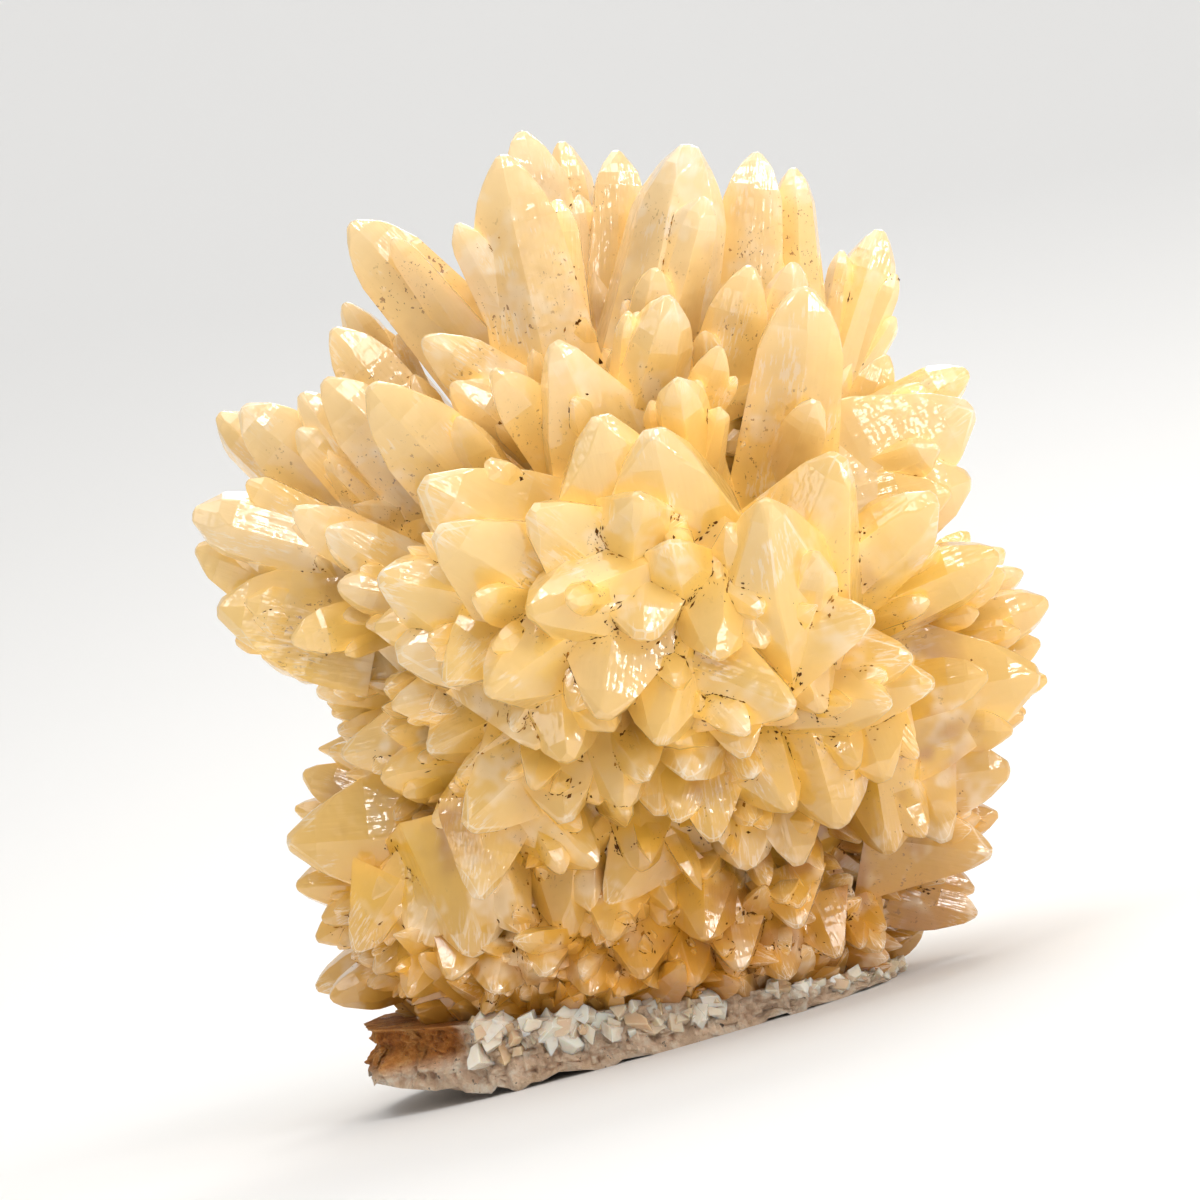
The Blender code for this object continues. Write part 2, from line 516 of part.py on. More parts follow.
def matrix_wedge(collection):
    """The rock: a thin wedge with rough broken sides, whose underside is broken away at the left."""
    rng = random.Random(SEED)
    corners = []
    for index, (x, y) in enumerate(WEDGE_OUTLINE):
        next_x, next_y = WEDGE_OUTLINE[(index + 1) % len(WEDGE_OUTLINE)]
        corners += [(x, y), ((x + next_x) / 2, (y + next_y) / 2)]
    bm = bmesh.new()
    rings = []
    for inset, share in WEDGE_RINGS:
        ring = []
        for x, y in corners:
            rough = inset * rng.uniform(1 - SIDE_ROUGHNESS, 1 + SIDE_ROUGHNESS)
            px = WEDGE_CENTRE + (x - WEDGE_CENTRE) * rough
            ring.append(bm.verts.new((px, y * rough, share * wedge_top(px))))
        rings.append(ring)
    for low, high in zip(rings, rings[1:]):
        for index in range(len(corners)):
            after = (index + 1) % len(corners)
            bm.faces.new((low[index], low[after], high[after], high[index]))
    bm.faces.new(rings[-1])
    bm.faces.new(list(reversed(rings[0])))
    under = Vector((math.sin(math.atan(UNDERCUT_RISE)), 0, math.cos(math.atan(UNDERCUT_RISE))))
    geometry = bm.verts[:] + bm.edges[:] + bm.faces[:]
    cut = bmesh.ops.bisect_plane(
        bm, geom=geometry, plane_co=(UNDERCUT_FROM, 0, 0), plane_no=under, clear_inner=True
    )
    rim = [item for item in cut["geom_cut"] if isinstance(item, bmesh.types.BMEdge)]
    bmesh.ops.contextual_create(bm, geom=rim)
    bmesh.ops.triangulate(bm, faces=bm.faces)
    bmesh.ops.recalc_face_normals(bm, faces=bm.faces)
    rock = bm_object("matrix_wedge", bm, collection)
    rock.data.materials.append(pale_rock())
    return rock


def principled(name, colour, roughness):
    material = bpy.data.materials.new(name)
    material.use_nodes = True
    shader = material.node_tree.nodes["Principled BSDF"]
    shader.inputs["Base Color"].default_value = (*colour, 1)
    shader.inputs["Roughness"].default_value = roughness
    shader.inputs["Metallic"].default_value = 0
    material.diffuse_color = (*colour, 1)
    return material


def honey_calcite():
    return principled("honey_calcite", (0.87, 0.68, 0.36), 0.3)


def pale_rock():
    return principled("pale_rock", (0.55, 0.47, 0.38), 0.85)


def centre_over_origin(pieces):
    """Hangs the pieces on an empty that puts the origin under the middle of their common box."""
    bpy.context.view_layer.update()
    graph = bpy.context.evaluated_depsgraph_get()
    corners = []
    for piece in pieces:
        corners += [Vector(corner) for corner in piece.evaluated_get(graph).bound_box]
    stand = bpy.data.objects.new("rest_frame", None)
    bpy.context.scene.collection.objects.link(stand)
    stand.location.x = -(min(c.x for c in corners) + max(c.x for c in corners)) / 2
    stand.location.y = -(min(c.y for c in corners) + max(c.y for c in corners)) / 2
    for piece in pieces:
        piece.parent = stand


def main():
    for old in list(bpy.data.objects):
        bpy.data.objects.remove(old)
    scene_collection = bpy.context.scene.collection
    helpers = helper_collection("crystals_to_join")
    cluster = calcite_crystals(helpers, scene_collection)
    rock = matrix_wedge(scene_collection)
    centre_over_origin([cluster, rock])


main()
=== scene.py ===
import json
import math
import random

import bmesh
import bpy
from mathutils import Matrix, Vector, noise
from mathutils.bvhtree import BVHTree

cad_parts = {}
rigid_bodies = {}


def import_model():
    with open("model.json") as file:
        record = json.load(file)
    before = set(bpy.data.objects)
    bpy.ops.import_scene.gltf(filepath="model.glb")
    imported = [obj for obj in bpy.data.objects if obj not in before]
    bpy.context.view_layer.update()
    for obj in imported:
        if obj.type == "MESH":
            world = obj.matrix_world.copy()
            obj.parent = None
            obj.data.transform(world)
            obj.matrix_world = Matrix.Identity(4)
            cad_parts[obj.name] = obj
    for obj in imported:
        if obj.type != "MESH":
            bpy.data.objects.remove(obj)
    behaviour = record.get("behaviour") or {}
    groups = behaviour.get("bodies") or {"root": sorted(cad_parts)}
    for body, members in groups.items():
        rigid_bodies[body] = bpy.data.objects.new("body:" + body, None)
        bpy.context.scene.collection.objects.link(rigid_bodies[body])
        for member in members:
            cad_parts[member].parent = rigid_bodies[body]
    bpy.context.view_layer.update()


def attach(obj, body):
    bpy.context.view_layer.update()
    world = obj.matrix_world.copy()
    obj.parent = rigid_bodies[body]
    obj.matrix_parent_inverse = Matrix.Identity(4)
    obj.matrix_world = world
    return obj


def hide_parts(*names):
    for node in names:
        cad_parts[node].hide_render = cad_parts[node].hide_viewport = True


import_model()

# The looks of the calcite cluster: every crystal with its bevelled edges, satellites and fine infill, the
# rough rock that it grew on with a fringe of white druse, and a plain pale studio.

MM = 0.001
BODY = "root"

# Sizes and places are in millimetres, in the growth frame: +X right, +Y to the rear, +Z along the crown.
# The specimen rests with that frame leaning to the right by REST_LEAN, on a foot through FOOT_POINT, and
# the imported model's origin is under the middle of its box, at BOX_MIDDLE of the rest frame.
REST_LEAN = math.radians(15.2)
FOOT_POINT = Vector((-6.25, 0.0, -29.9))
BOX_MIDDLE = Vector((15.3536, -0.1748, 0.0))

# Calcite habit: azimuths of the six scalenohedral faces from an obtuse edge, and of the three end faces.
HALF_PAIR = 19.1
UPPER_FACES = [third + side for third in (0, 120, 240) for side in (-HALF_PAIR, HALF_PAIR)]
END_FACES = (60, 180, 300)

# How fast each set of faces widens, in millimetres of radius per millimetre below the tip.
END_SLOPE = 1.0
POINT_SLOPE = 0.44
SHAFT_SLOPE = 0.07

# A crystal's radius and thickness by its width. A blade is longer than BLADE_RATIO widths. Its sides stand
# up from BLADE_SHAFT radii on, a tooth's from TOOTH_SHAFT radii, and both go on past the root by so many
# widths.
WIDTH_TO_RADIUS = 1 / 2.29
THICKNESS = 0.72
BLADE_RATIO = 1.7
BLADE_SHAFT = 0.86
TOOTH_SHAFT = 1.5
BLADE_ROOT = 1.1
TOOTH_ROOT = 0.3
LEAST_BLUNT = 0.3

# Faces that round off the arrises between two sets: how far each is cut in, as a share of the radius.
SOFTENING = 0.03
# How much the faces of one crystal differ: in azimuth, in degrees, in slope and in how far they stand out.
AZIMUTH_SPREAD = 5.0
SLOPE_SPREAD = (0.9, 1.14)
STAND_SPREAD = (0.86, 1.0)
# The worn cap on a tip: its slope, and how far it is below the tip as a share of the radius.
CAP_SLOPE = 2.3
CAP_DROP = 0.10
# The worn arrises: how broad as a share of the crystal's width, the least angle of an edge that has one,
# and the width from which it gets two segments.
EDGE_BEVEL = 0.018
LEAST_BEVELLED = math.radians(28)
FINE_FROM = 7.0

# The massive calcite that the crystals are rooted in: centre, then half sizes, in the growth frame.
CORES = (
    ((2.5, 0.0, -6.5), (16.5, 13.5, 17.5)),
    ((-11.0, 0.0, 2.5), (7.5, 6.0, 6.0)),
    ((3.5, 0.0, 9.0), (11.5, 9.5, 7.5)),
    ((1.5, 0.5, -21.0), (15.0, 11.8, 7.5)),
)

# The crystals that fill the sides, the rear and the gaps, by the same rule as the solids.
GROWN_LOW = -26.0
GROWN_HIGH = 14.0
GROWN_WIDTH_LOW = 3.2
GROWN_WIDTH_HIGH = 7.4
WIDTH_SPREAD = (0.85, 1.15)
REACH_RANGE = (1.0, 1.4)
GROWN_BLUNT = (0.12, 0.4)
GROWN_TURN = 25
SITE_STEP = 2.4
CLEARANCE = 0.4
WAIST = 0.4
ROOT_DEPTH = 0.5
SWAY = 0.22
RISE = 0.35
FOOT_RISE = 0.7
LOWEST_TIP = 0.3
SEED = 7

# The rock: a wedge whose top falls to the right, with its outline as in the solids.
WEDGE_TOP_AT_LEFT = 5.6
WEDGE_LEFT = -8.0
WEDGE_FALL = 0.145

# The crystals whose places are known, one to a line: tip x, tip z, root x, root z, width, root y, lean to
# the front in degrees, turn about its own axis in degrees, and how blunt the tip is, from 0 to 1.
REAR_CROWN = (
    (-5.0, 29.9, -2.8, 16.9, 4.9, 3.0, -2, 10, 0.34),
    (-2.5, 29.4, -0.5, 16.6, 3.6, 5.0, -4, 170, 0.34),
    (1.1, 28.5, 0.8, 15.9, 4.0, 2.0, 0, 20, 0.55),
    (-7.5, 23.8, -5.3, 16.2, 2.8, 8.0, -8, 0, 0.34),
    (17.9, 23.7, 14.2, 12.2, 4.3, 4.0, -3, 175, 0.4),
    (-15.8, 23.8, -6.2, 13.4, 5.5, 0.0, 0, 5, 0.4),
    (-16.3, 18.9, -11.2, 11.9, 3.0, 3.0, -4, 190, 0.34),
)
FRONT_CROWN = (
    (-6.1, 27.6, -2.9, 14.2, 6.1, -4.0, 8, -6, 0.34),
    (5.6, 28.3, 2.5, 11.9, 7.2, -4.0, 5, 172, 0.45),
    (9.8, 28.1, 8.9, 16.2, 4.3, -1.0, 2, 0, 0.35),
    (12.1, 27.2, 12.5, 15.9, 3.4, 0.0, 0, 185, 0.45),
)
SECOND_ROW = (
    (12.3, 19.0, 10.9, 7.8, 6.1, -9.0, 22, 12, 0.5),
    (11.9, 20.8, 10.5, 11.9, 4.4, -6.0, 10, 190, 0.4),
    (9.2, 20.5, 7.0, 11.9, 4.5, -7.0, 12, 0, 0.4),
    (4.2, 18.4, 2.0, 10.0, 5.1, -9.0, 28, 175, 0.45),
    (7.2, 15.2, 5.6, 10.6, 2.9, -11.0, 35, 0, 0.4),
    (-2.8, 15.6, 0.4, 7.5, 6.3, -9.0, 32, 15, 0.35),
    (4.5, 13.1, 5.6, 7.5, 3.7, -13.0, 45, 180, 0.5),
)
LEFT_SHOULDER = (
    (-11.0, 16.1, -2.5, 10.3, 4.3, -5.0, 12, 0, 0.35),
    (-9.1, 13.2, -2.5, 7.5, 3.8, -8.0, 16, 180, 0.35),
    (-6.5, 13.9, -0.9, 6.9, 4.3, -9.0, 28, 10, 0.35),
    (-14.1, 13.1, -5.9, 5.0, 6.5, -8.0, 18, -8, 0.4),
    (-17.1, 13.7, -9.7, 5.9, 5.4, -4.0, 10, 5, 0.4),
    (-18.6, 12.9, -11.9, 4.7, 4.3, -3.0, 6, 175, 0.4),
    (-22.4, 12.1, -13.4, 4.7, 5.6, -2.0, 4, 0, 0.5),
    (-24.3, 11.9, -18.1, 6.6, 3.7, 3.0, -5, 180, 0.5),
    (-16.8, 17.1, -10.3, 8.4, 4.6, 0.0, 5, 10, 0.35),
)
LEFT_ARM = (
    (-25.3, 5.4, -14.7, 2.5, 5.2, -4.0, 6, 178, 0.7),
    (-25.3, 3.3, -16.2, -0.3, 4.6, -2.0, 2, 0, 0.5),
    (-23.8, -0.4, -15.6, -1.9, 5.6, -4.0, 8, 12, 0.7),
    (-21.1, -3.3, -14.1, -3.4, 3.9, -3.0, 8, 180, 0.55),
    (-17.6, -5.8, -12.5, -4.4, 3.5, -4.0, 10, 0, 0.5),
    (-16.7, -7.1, -11.9, -5.6, 2.6, -3.0, 5, 180, 0.4),
    (-18.6, 5.5, -12.5, 1.9, 3.9, -7.0, 30, 0, 0.4),
    (-16.6, 4.4, -10.0, 0.6, 4.3, -8.0, 25, 170, 0.4),
    (-18.8, -2.5, -12.5, -1.2, 3.5, -7.0, 25, 10, 0.5),
    (-15.9, 0.9, -10.6, 0.0, 3.5, -9.0, 30, 180, 0.4),
)
LEFT_BREAST = (
    (-10.8, 7.1, -3.4, 2.2, 7.3, -12.0, 30, 15, 0.6),
    (-9.9, 4.1, -2.5, 0.0, 6.9, -14.0, 33, -10, 0.5),
    (-13.4, 1.4, -5.9, -0.3, 7.2, -13.0, 28, 180, 0.35),
    (-12.4, -3.1, -6.2, -2.5, 6.9, -12.0, 28, 10, 0.7),
    (-9.2, -5.0, -5.9, -1.6, 3.8, -15.0, 35, 0, 0.6),
    (-6.8, -5.6, -2.5, -2.5, 5.9, -16.0, 38, 175, 0.5),
    (-4.4, -0.8, 0.6, 0.6, 6.5, -16.5, 42, 190, 0.45),
    (-4.2, 5.4, 0.6, 1.9, 6.2, -15.0, 42, 0, 0.5),
    (-0.1, 11.0, 1.4, 3.4, 6.5, -13.0, 38, 8, 0.65),
    (3.0, 10.2, 4.5, 3.4, 6.6, -14.0, 40, -5, 0.7),
    (2.3, 6.2, 1.8, 2.5, 6.4, -15.0, 60, 180, 0.5),
    (4.0, 3.4, 5.0, 0.6, 3.8, -16.0, 62, 170, 0.5),
)
RIGHT_SHOULDER = (
    (14.2, 8.9, 10.6, -1.2, 7.8, -12.0, 28, -20, 0.4),
    (9.5, 6.1, 10.8, -1.6, 6.6, -15.0, 40, 180, 0.4),
    (20.2, 6.4, 12.5, 0.0, 6.0, -12.0, 16, 165, 0.55),
    (22.9, 7.5, 15.6, 5.0, 6.5, -7.0, 5, 0, 0.5),
    (23.1, 11.8, 15.0, 7.5, 6.4, -6.0, 8, 10, 0.7),
    (22.9, 14.2, 14.7, 9.1, 3.7, -3.0, 4, 180, 0.5),
    (18.0, 15.4, 15.6, 10.0, 3.0, -1.0, 0, 0, 0.4),
    (24.1, 2.9, 14.7, -1.2, 4.9, -10.0, 12, 175, 0.45),
    (24.8, 1.8, 17.5, -1.6, 3.4, -7.0, 6, 0, 0.5),
    (16.3, -0.8, 9.7, -2.5, 6.6, -15.0, 30, 0, 0.3),
    (18.7, -3.4, 13.1, -3.8, 4.3, -13.0, 30, 180, 0.4),
    (20.1, -4.9, 14.1, -5.3, 4.6, -12.0, 25, 0, 0.4),
    (17.4, -6.2, 12.5, -5.6, 4.3, -14.0, 33, 170, 0.4),
)
RIGHT_FLANK = (
    (27.1, -4.5, 16.6, -6.2, 7.4, -7.0, 8, 5, 0.6),
    (27.7, 0.0, 20.6, -2.8, 4.3, -5.0, 4, 178, 0.55),
    (25.4, 3.2, 20.6, 0.0, 2.6, 0.0, 0, 0, 0.45),
    (26.3, 1.8, 20.9, -0.6, 2.5, -3.0, 0, 180, 0.45),
    (23.6, 4.4, 20.0, 0.6, 2.6, 5.0, -10, 0, 0.4),
    (27.4, -2.6, 21.9, -4.1, 2.8, -3.0, 0, 0, 0.5),
    (27.9, -4.9, 21.9, -5.9, 2.8, -2.0, 0, 180, 0.5),
    (26.4, -7.2, 20.6, -7.2, 3.1, -3.0, 0, 0, 0.5),
    (25.5, -10.4, 17.5, -10.6, 6.5, -5.0, 6, 8, 0.5),
    (24.8, -13.2, 20.0, -14.4, 3.0, -3.0, 0, 180, 0.6),
    (24.3, -15.6, 18.1, -14.4, 5.2, -5.0, 8, 0, 0.45),
    (23.3, -18.0, 19.4, -16.9, 2.6, -3.0, 0, 180, 0.5),
    (23.5, -19.5, 18.8, -18.1, 2.9, -3.0, 0, 0, 0.5),
)
FRONT_MIDDLE = (
    (7.0, -3.7, 6.6, 0.9, 7.5, -16.0, 42, 172, 0.4),
    (2.6, -2.5, 2.5, 0.9, 7.8, -16.5, 50, 0, 0.5),
    (-1.9, -9.8, -2.4, -5.0, 7.2, -15.0, 35, 180, 0.35),
    (0.1, -7.1, 0.8, -2.5, 5.9, -16.5, 42, 0, 0.55),
    (3.4, -8.7, 4.2, -4.1, 6.0, -16.0, 38, 172, 0.4),
    (11.6, -6.4, 6.2, -4.1, 6.2, -15.5, 36, 10, 0.4),
    (13.2, -6.8, 11.6, -3.1, 4.4, -15.0, 30, 180, 0.4),
    (8.6, -9.4, 7.6, -5.6, 4.7, -15.0, 38, 0, 0.45),
    (5.1, -10.6, 5.6, -8.4, 6.4, -14.5, 55, 175, 0.4),
    (14.4, -13.9, 12.5, -7.8, 6.9, -12.0, 22, 180, 0.5),
    (17.0, -11.1, 15.6, -6.9, 6.4, -12.0, 26, 0, 0.4),
    (11.6, -12.7, 8.6, -8.4, 5.3, -13.0, 28, 180, 0.4),
    (6.8, -14.5, 6.2, -10.3, 4.7, -13.0, 32, 0, 0.4),
    (1.4, -12.6, 1.2, -8.4, 4.9, -14.0, 32, 175, 0.4),
    (3.6, -13.0, 3.4, -9.7, 5.2, -13.0, 35, 0, 0.5),
    (-2.1, -13.5, -2.5, -9.1, 6.4, -13.0, 30, 10, 0.45),
    (-0.1, -16.1, -3.0, -13.0, 4.9, -12.0, 26, 180, 0.4),
    (-8.1, -13.8, -4.4, -10.0, 6.9, -12.0, 28, 0, 0.45),
    (-10.5, -9.1, -6.9, -7.2, 4.9, -11.0, 26, 180, 0.4),
    (-3.4, -8.9, -5.0, -5.6, 4.9, -14.5, 35, 0, 0.45),
)
LEFT_FLANK = (
    (-15.9, -9.5, -10.0, -8.1, 4.6, -7.0, 12, 0, 0.45),
    (-13.4, -10.8, -9.1, -10.0, 4.3, -9.0, 22, 180, 0.45),
    (-12.6, -6.4, -9.1, -5.6, 3.6, -11.0, 28, 0, 0.45),
    (-10.2, -13.4, -6.2, -11.6, 4.0, -11.0, 20, 175, 0.45),
    (-19.5, -14.9, -12.2, -14.4, 6.2, -5.0, 10, 8, 0.65),
    (-18.9, -17.6, -13.4, -17.2, 3.9, -4.0, 8, 180, 0.5),
    (-18.6, -10.7, -14.1, -12.2, 3.1, -2.0, 0, 0, 0.55),
    (-19.2, -13.0, -15.0, -13.8, 2.7, 0.0, 0, 180, 0.5),
    (-16.4, -7.9, -12.2, -8.4, 2.8, -3.0, 0, 0, 0.45),
    (-16.9, -9.3, -12.5, -10.0, 2.8, -3.0, 0, 180, 0.4),
    (-14.0, -18.3, -10.6, -16.2, 3.5, -8.0, 18, 0, 0.5),
    (-11.3, -20.8, -10.0, -17.5, 3.2, -9.0, 20, 180, 0.55),
    (-14.9, -21.5, -13.1, -18.1, 3.5, -8.0, 16, 0, 0.5),
    (-10.6, -21.9, -9.7, -18.8, 4.4, -8.0, 16, 180, 0.45),
    (-17.6, -21.0, -13.8, -19.1, 3.2, -4.0, 8, 0, 0.5),
    (-17.2, -19.7, -13.4, -18.1, 2.9, -5.0, 5, 180, 0.45),
)
FRONT_LOWER = (
    (-7.2, -18.0, -6.8, -13.8, 4.0, -12.0, 26, 0, 0.6),
    (-7.6, -21.8, -7.8, -16.2, 7.8, -10.0, 22, 180, 0.4),
    (-2.0, -20.6, -1.8, -15.6, 5.9, -10.0, 24, 175, 0.4),
    (0.4, -18.4, 2.5, -15.3, 4.6, -11.0, 28, 0, 0.45),
    (8.8, -16.4, 8.4, -12.5, 6.1, -11.0, 30, 180, 0.45),
    (3.8, -19.8, 3.9, -15.9, 4.6, -10.0, 26, 178, 0.4),
    (11.9, -16.1, 11.2, -12.5, 4.8, -11.0, 28, 0, 0.5),
    (17.5, -15.6, 16.9, -11.9, 5.1, -9.0, 22, 180, 0.5),
    (21.2, -14.9, 19.4, -11.2, 4.8, -7.0, 18, 0, 0.5),
    (2.5, -16.4, 2.5, -12.8, 5.1, -11.0, 32, 180, 0.5),
)
FOOT_FRONT = (
    (-13.8, -22.8, -12.0, -21.0, 3.2, -6.5, 30, 0, 0.4),
    (-11.6, -24.0, -10.4, -22.0, 3.0, -8.5, 45, 180, 0.4),
    (-9.0, -22.8, -8.4, -20.8, 3.2, -9.5, 55, 0, 0.4),
    (-6.3, -23.6, -6.0, -21.6, 3.0, -10.0, 58, 180, 0.4),
    (-3.4, -22.5, -3.2, -20.5, 3.3, -10.5, 58, 0, 0.4),
    (-0.6, -23.6, -0.4, -21.4, 3.1, -10.5, 58, 180, 0.4),
    (2.5, -22.6, 2.4, -20.4, 3.3, -10.8, 58, 0, 0.4),
    (5.6, -23.1, 5.2, -21.0, 3.0, -10.5, 57, 180, 0.4),
    (8.4, -22.2, 8.0, -20.0, 3.3, -10.2, 55, 0, 0.4),
    (11.3, -22.8, 10.6, -20.8, 3.0, -9.6, 52, 180, 0.4),
    (14.4, -21.6, 13.4, -19.6, 3.2, -8.6, 46, 0, 0.4),
    (17.2, -21.4, 15.8, -19.8, 3.0, -7.0, 36, 180, 0.4),
    (0.6, -20.3, 0.9, -18.4, 3.4, -11.5, 58, 0, 0.4),
    (6.3, -20.3, 6.2, -18.2, 3.4, -11.3, 57, 180, 0.4),
    (11.9, -19.7, 11.5, -17.8, 3.3, -10.5, 52, 0, 0.4),
)
PLACED_ROWS = (
    REAR_CROWN, FRONT_CROWN, SECOND_ROW, LEFT_SHOULDER, LEFT_ARM, LEFT_BREAST, RIGHT_SHOULDER,
    RIGHT_FLANK, FRONT_MIDDLE, LEFT_FLANK, FRONT_LOWER, FOOT_FRONT,
)


# Satellites stand beside a crystal and point the same way: how many, their widths and how far down their
# tips are as shares of the parent's, and how far off its axis they stand in parent widths.
SATELLITES_FROM = 2.8
SATELLITE_COUNT = (1, 3)
SATELLITE_WIDTH = (0.38, 0.62)
SATELLITE_DROP = (0.16, 0.5)
SATELLITE_OFFSET = (0.26, 0.42)
SATELLITE_SPLAY = 0.12

# The fine crystals that fill the crevices, denser towards the foot.
INFILL_STEP = 2.3
INFILL_WIDTH = (1.3, 2.7)
INFILL_REACH = (1.1, 1.9)
FOOT_STEP = 1.35
FOOT_WIDTH = (1.5, 3.0)
FOOT_REACH = (0.6, 1.15)
FOOT_HIGH = 7.0

# How far the crystals reach into the rock, so that no gap shows.
SEAT_SINK = 0.3
CUTTER_SIZE = 120.0

# Dirt lies in the seams where crystals meet: how sharp a seam has to be, how open it has to lie, in metres,
# and the places, x and z in the growth frame with a radius, where it is thickest.
SEAM_ANGLE = math.radians(-25)
SEAM_OPENING = 0.009
DIRT_SPOTS = (
    (-1.5, 15.8, 1.6), (-5.8, -0.4, 0.9), (0.8, 3.6, 1.5), (4.5, 0.8, 1.5), (7.8, 1.0, 1.8),
    (3.4, -2.2, 2.4),
    (11.9, -7.0, 2.4), (11.3, -4.4, 1.2), (10.5, -16.1, 1.6), (18.1, -15.5, 1.6), (19.5, -16.4, 0.8),
    (-2.0, -11.5, 1.5), (-6.0, -15.0, 1.5), (6.5, -12.5, 2.0), (2.0, -21.0, 2.0), (9.0, -20.5, 2.0),
    (-11.3, 10.6, 1.2), (9.9, 9.2, 1.4), (5.7, 6.4, 1.2), (15.6, 4.4, 1.3), (-2.6, -4.4, 1.4),
    (1.2, -9.2, 1.6),
    (-17.0, -20.6, 1.4), (-3.4, -19.0, 1.4), (14.4, -18.2, 1.6), (22.0, -12.4, 1.2), (-9.4, -9.4, 1.4),
)
# Above this level of a slow noise there is dirt elsewhere too. Flakes lie FLAKE_GAP apart along a seam and
# stray from it by about FLAKE_STRAY. Each is an octahedron of these half lengths and half thicknesses.
DIRT_FIELD = 0.07
FLAKE_GAP = 0.045
FLAKE_LONG = (0.03, 0.12)
FLAKE_THICK = (0.014, 0.045)
FLAKE_STRAY = 0.18
FLAKE = ((1, 0, 0), (-1, 0, 0), (0, 1, 0), (0, -1, 0), (0, 0, 1), (0, 0, -1))
FLAKE_FACES = ((0, 2, 4), (2, 1, 4), (1, 3, 4), (3, 0, 4), (2, 0, 5), (1, 2, 5), (3, 1, 5), (0, 3, 5))

# The rock's outline on the ground seen from above, in the rest frame, clockwise from the front left.
WEDGE_OUTLINE = (
    (-7.6, -6.5), (-8.1, -1.0), (-7.0, 4.5), (-4.0, 8.8), (1.5, 11.4), (8.0, 12.2), (15.0, 11.6),
    (21.0, 9.2), (25.0, 4.8), (26.6, -1.5), (24.6, -7.0), (19.5, -10.2), (13.0, -11.6), (6.0, -12.0),
    (0.0, -11.4), (-4.8, -9.6),
)
# Left of this x the underside rises by so much a millimetre.
UNDERCUT_FROM = 0.5
UNDERCUT_RISE = 0.27
# The mesh of its side, and how deep the large breaks and the small chips in it go.
ROCK_CELL = 0.2
ROCK_LAYERS = 24
ROCK_RELIEF = 0.75
ROCK_CHIPS = 0.5
# A brown hollow in the upper part of the side, from the left end to this x of the rest frame.
RECESS_RIGHT = -0.6
RECESS_DEPTH = 1.0
# How far the lower edge is chipped away at most.
ROCK_CHIPPED = 0.9

# The white druse along the rock's upper rim, deepest at the left of the front: broken cleavage blocks.
DRUSE_STEP = 0.5
DRUSE_SIZE = (0.5, 1.4)
DRUSE_BAND = 2.4
DRUSE_BAND_FALL = 0.085
CLEAVAGE_SHEAR = 0.28

# Small lamps around the front, each by azimuth from the camera's side, elevation (degrees) and power (W).
LAMP_DISTANCE = 0.45
LAMP_SIZE = 0.06
SMALL_LAMPS = (
    (-62, 24, 0.02), (-38, 58, 0.05), (-20, 14, 0.02), (-6, 40, 0.10), (6, 72, 0.09), (18, 6, 0.07),
    (28, 50, 0.11), (40, 24, 0.11), (60, 46, 0.10), (50, 4, 0.13), (66, 8, 0.14), (82, 18, 0.10),
)

# The camera looks along +Y of the growth frame, so that the picture shows the specimen as it is held up.
CAMERA_DISTANCE = 300.0
PICTURE_WIDTH = 75.0
SENSOR = 36.0


def rest_matrix():
    """From the growth frame to the rest frame, in which the foot lies on the ground."""
    return Matrix.Rotation(REST_LEAN, 4, "Y") @ Matrix.Translation(-FOOT_POINT)


def rest_to_row():
    """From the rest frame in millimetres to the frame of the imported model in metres."""
    return Matrix.Scale(MM, 4) @ Matrix.Translation(-BOX_MIDDLE)


def row_matrix():
    """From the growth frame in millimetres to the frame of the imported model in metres."""
    return rest_to_row() @ rest_matrix()


def face_plane(azimuth, slope, height, radius):
    """(point, normal) of a crystal face that stands at this radius at this height below the tip."""
    angle = math.radians(azimuth)
    normal = Vector((math.cos(angle), math.sin(angle), slope)).normalized()
    return Vector((radius * math.cos(angle), radius * math.sin(angle), -height)), normal


def is_blade(length, width):
    return length >= BLADE_RATIO * width


def habit(length, width, blunt, rng):
    """The planes of one crystal, with its tip at the origin, its axis along +Z and softened arrises."""
    radius = width * WIDTH_TO_RADIUS
    end_radius = blunt * radius if blunt >= LEAST_BLUNT else 0
    end_height = end_radius / END_SLOPE
    shaft_radius = radius * (BLADE_SHAFT if is_blade(length, width) else TOOTH_SHAFT)
    shaft_height = end_height + (shaft_radius - end_radius) / POINT_SLOPE
    soft = SOFTENING * radius
    cap = CAP_DROP * radius
    planes = [face_plane(azimuth + rng.uniform(-15, 15), CAP_SLOPE, cap, 0) for azimuth in END_FACES]
    if end_radius > 0:
        for azimuth in END_FACES:
            planes.append(face_plane(azimuth, END_SLOPE * rng.uniform(*SLOPE_SPREAD), 0, 0))
    for azimuth in UPPER_FACES:
        azimuth += rng.uniform(-AZIMUTH_SPREAD, AZIMUTH_SPREAD)
        slope = POINT_SLOPE * rng.uniform(*SLOPE_SPREAD)
        stand = rng.uniform(*STAND_SPREAD)
        planes.append(face_plane(azimuth, slope, end_height, end_radius * stand))
        if end_radius > 0:
            between = (END_SLOPE + slope) / 2
            planes.append(face_plane(azimuth, between, end_height, end_radius * stand - 0.6 * soft))
        if shaft_height < length:
            between = (slope + SHAFT_SLOPE) / 2
            planes.append(face_plane(azimuth, between, shaft_height, shaft_radius * stand - soft))
            planes.append(face_plane(azimuth, SHAFT_SLOPE, shaft_height, shaft_radius * stand))
    return planes


def is_closed(bm):
    return all(edge.is_manifold for edge in bm.edges)


